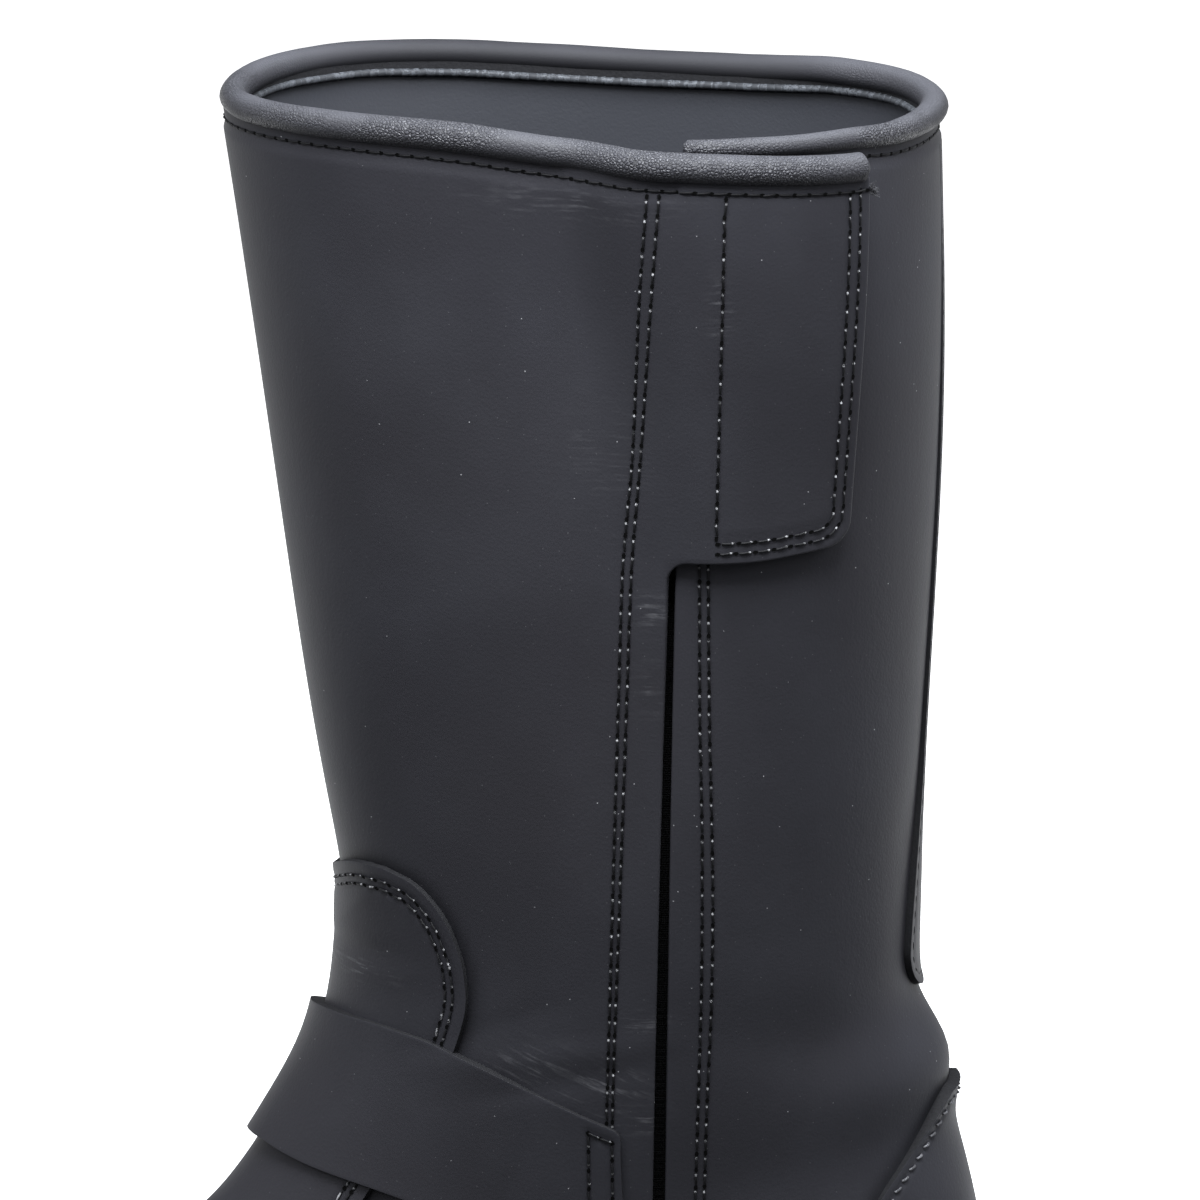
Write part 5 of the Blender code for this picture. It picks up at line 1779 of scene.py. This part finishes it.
def repeat(name, shape, sizes, material, points, along, out, worn, slot):
    """A piece made of a small shape on each of the points."""
    tree = repeat_tree(name, shape, sizes, material)
    mesh = bpy.data.meshes.new(name)
    mesh.from_pydata(placed(points).tolist(), [], [])
    for key, values in (("along", along), ("out", out)):
        layer = mesh.attributes.new(key, "FLOAT_VECTOR", "POINT")
        layer.data.foreach_set("vector", np.asarray(values, np.float32).reshape(-1))
    layer = mesh.attributes.new("worn", "FLOAT", "POINT")
    layer.data.foreach_set("value", np.asarray(worn, np.float32))
    piece = bpy.data.objects.new(name, mesh)
    bpy.context.scene.collection.objects.link(piece)
    modifier = piece.modifiers.new("repeat", "NODES")
    modifier.node_group = tree
    for item in tree.interface.items_tree:
        if item.in_out == "INPUT" and item.name in sizes:
            modifier[item.identifier] = sizes[item.name]
    applied(piece)
    settle_piece(piece, slot)


def seam_frame(seam, length, places):
    """Points at places along a seam, the way it runs there, and the way it faces."""
    ahead = line_at(places + 0.3, length, seam.points)
    behind = line_at(places - 0.3, length, seam.points)
    normals = unit(line_at(places, length, seam.normals))
    return line_at(places, length, seam.points), unit(ahead - behind), normals


def stitched(rows, seed):
    """Stitch middles and hole places of seams, with their directions and their wear and painted glint."""
    chance = np.random.default_rng(seed)
    stitches = []
    holes = []
    for seam in rows:
        length = line_length(seam.points)
        count = max(1, int(round(length[-1] / seam.pitch)))
        knots = length[-1] * np.arange(count + 1) / count
        knots[1:-1] += chance.normal(0.0, 0.05 * seam.pitch, count - 1)
        points, along, normals = seam_frame(seam, length, (knots[1:] + knots[:-1]) / 2.0)
        side = np.cross(normals, along)
        skewed = unit(along + side * chance.normal(seam.slant, 0.05, count)[:, None])
        worn = np.clip(seam.worn * chance.uniform(0.4, 1.3, count), 0.0, 1.0)
        stitches.append((points, skewed, normals, worn))
        holes.append((*seam_frame(seam, length, knots), np.zeros(count + 1)))
    stitches = [np.concatenate(column) for column in zip(*stitches)]
    holes = [np.concatenate(column) for column in zip(*holes)]
    return stitches, holes


def thread_sizes(thread):
    """A thread's sizes in metres, under the names of a tree's inputs."""
    return {"Length": thread.length * MM, "Radius": thread.radius * MM, "Rise": thread.rise * MM}


def sew(name, rows, thread, material, slot, seed, holes=True):
    """Makes the threads of seams, and discs of painted shade at their needle holes."""
    stitches, places = stitched(rows, seed)
    repeat(name, thread_shape, thread_sizes(thread), material, *stitches, slot)
    if holes:
        sizes = {"Radius": HOLE_RADIUS * MM, "Rise": HOLE_RISE * MM}
        repeat(name + "_holes", hole_shape, sizes, HOLE_SHADE, *places, slot)


def make_fray():
    """A tuft of loose fibres under the roll's end, at the tab's top rear corner."""
    chance = np.random.default_rng(31)
    count = 44
    around = np.full(count, TAB_REAR[1])
    height = height_at(around, RIM_Z - ROLL_DROP - chance.uniform(0.2, 1.6, count))
    points = leather_at(around, height, TAB_LIFT[1] - chance.uniform(0.2, 1.4, count))
    aside = chance.normal(0.1, 0.4, count)
    over = chance.normal(-0.25, 0.55, count)
    along = unit(np.stack([np.full(count, -1.0), aside, over], axis=-1))
    points = points + along * chance.uniform(0.0, 0.8, count)[:, None]
    out = unit(np.cross(along, chance.normal(size=(count, 3))))
    worn = chance.uniform(0.0, 0.8, count)
    sizes = thread_sizes(LOOSE_FIBRE)
    repeat("loose_fibres", thread_shape, sizes, DUSTY_THREAD, points, along, out, worn, "leather")


def make_coil(line, normals):
    """The turns of the zip's coil along the slot."""
    turns, _ = stitched([Seam(line, normals, COIL_PITCH, 0.0, 0.0)], 24)
    sizes = {"Reach": COIL_REACH * MM, "Radius": COIL_RADIUS * MM}
    repeat("zip_coil_turns", coil_shape, sizes, SHADED_COIL, *turns, "zip_tape")


# Studio
CAMERA_AZIMUTH = 184.0
CAMERA_ELEVATION = 14.0
CAMERA_DISTANCE = 2.0
CAMERA_SPAN = 0.222
CAMERA_TARGET = (74.5, 0.0, 203.0)
SENSOR = 36.0


def direction(azimuth, elevation):
    """The way from the boot towards a place round it."""
    a = math.radians(azimuth)
    e = math.radians(elevation)
    return Vector((math.sin(a) * math.cos(e), -math.cos(a) * math.cos(e), math.sin(e)))


def aimed(thing, place, target):
    """Puts a camera or light at a place, looking at a target."""
    thing.location = place
    thing.rotation_euler = (Vector(target) - Vector(place)).to_track_quat("-Z", "Y").to_euler()
    bpy.context.scene.collection.objects.link(thing)


def make_camera():
    """The photo's own view."""
    target = Vector(placed(CAMERA_TARGET)[0])
    data = bpy.data.cameras.new("photo_camera")
    data.sensor_width = SENSOR
    data.lens = SENSOR * CAMERA_DISTANCE / CAMERA_SPAN
    data.clip_end = 60.0
    camera = bpy.data.objects.new("photo_camera", data)
    aimed(camera, target + direction(CAMERA_AZIMUTH, CAMERA_ELEVATION) * CAMERA_DISTANCE, target)
    bpy.context.scene.camera = camera


# Soft panels round the boot: where they stand as seen from it, in degrees and metres, their sizes and power
Light = namedtuple("Light", "name azimuth elevation distance width height power")
LIGHTS = [
    Light("key_panel", 188.0, 66.0, 0.50, 0.36, 0.26, 7.2),
    Light("back_panel", 285.0, 50.0, 0.90, 0.5, 0.4, 5.2),
    Light("heel_panel", 262.0, 34.0, 1.2, 0.5, 0.8, 1.2),
    Light("toe_panel", 92.0, 34.0, 1.2, 0.5, 0.8, 2.8),
    Light("front_panel", 132.0, 36.0, 1.2, 0.5, 0.6, 5.4),
    Light("side_panel", 230.0, 34.0, 1.2, 0.5, 0.6, 4.2),
]

LIGHT_TARGET = (-0.05, 0.0, 0.18)
LIGHT_COLOR = (0.93, 0.96, 1.0)
SURROUND_COLOR = (0.95, 0.97, 1.0, 1.0)
SURROUND_STRENGTH = 0.12

# The floor glows behind the boot and is dim on the camera's side
FLOOR_HALF = 12.0
FLOOR_GLOW = 0.95
FLOOR_DIM = 0.04
FLOOR_TURN_Y = (-0.24, -0.02)


def make_studio():
    """White floor, soft panels and a pale surround."""
    scene = bpy.context.scene
    scene.view_settings.view_transform = "Standard"
    scene.view_settings.look = "None"
    world = bpy.data.worlds.new("studio")
    world.use_nodes = True
    surround = world.node_tree.nodes["Background"]
    surround.inputs["Color"].default_value = SURROUND_COLOR
    surround.inputs["Strength"].default_value = SURROUND_STRENGTH
    scene.world = world
    target = Vector(LIGHT_TARGET)
    for light in LIGHTS:
        data = bpy.data.lights.new(light.name, "AREA")
        data.shape = "RECTANGLE"
        data.size = light.width
        data.size_y = light.height
        data.energy = light.power
        data.color = LIGHT_COLOR
        lamp = bpy.data.objects.new(light.name, data)
        aimed(lamp, target + direction(light.azimuth, light.elevation) * light.distance, target)
    mesh = bpy.data.meshes.new("floor")
    corners = [(-1.0, -1.0, 0.0), (1.0, -1.0, 0.0), (1.0, 1.0, 0.0), (-1.0, 1.0, 0.0)]
    mesh.from_pydata((np.array(corners) * FLOOR_HALF).tolist(), [], [(0, 1, 2, 3)])
    floor = bpy.data.objects.new("floor", mesh)
    finish = Finish("white_floor")
    haze = finish.noise(3.0, 2.0)
    front = finish.axis(1).step(*FLOOR_TURN_Y)
    pale = finish.mix(front, finish.mix(haze, grey(0.90), grey(0.92)), grey(0.10))
    glow = finish.mix(front, grey(FLOOR_GLOW), grey(FLOOR_DIM))
    finish.set(Base_Color=pale, Roughness=0.9, Emission_Color=glow, Emission_Strength=1.0)
    mesh.materials.append(finish.material)
    scene.collection.objects.link(floor)


make_camera()
make_studio()
make_upper()
make_vamp()
counter_seams = make_counter()
make_backstay()
make_strap()
make_roll()
facing_seams = make_facing()
make_lining()
coil_line, coil_normals = make_zip()
welt_seams = make_midsole()
make_insole()
make_outsole()
make_heel()
sew("leather_stitches", seams, LEATHER_THREAD, THREAD, "leather", 21)
sew("counter_stitches", counter_seams, COUNTER_THREAD, DUSTY_THREAD, "leather", 25, holes=False)
sew("welt_stitches", welt_seams, WELT_THREAD, PALE_THREAD, "sole_edge", 22)
sew("facing_stitches", facing_seams, FACING_THREAD, PALE_THREAD, "binding_leather", 23, holes=False)
make_coil(coil_line, coil_normals)
make_fray()
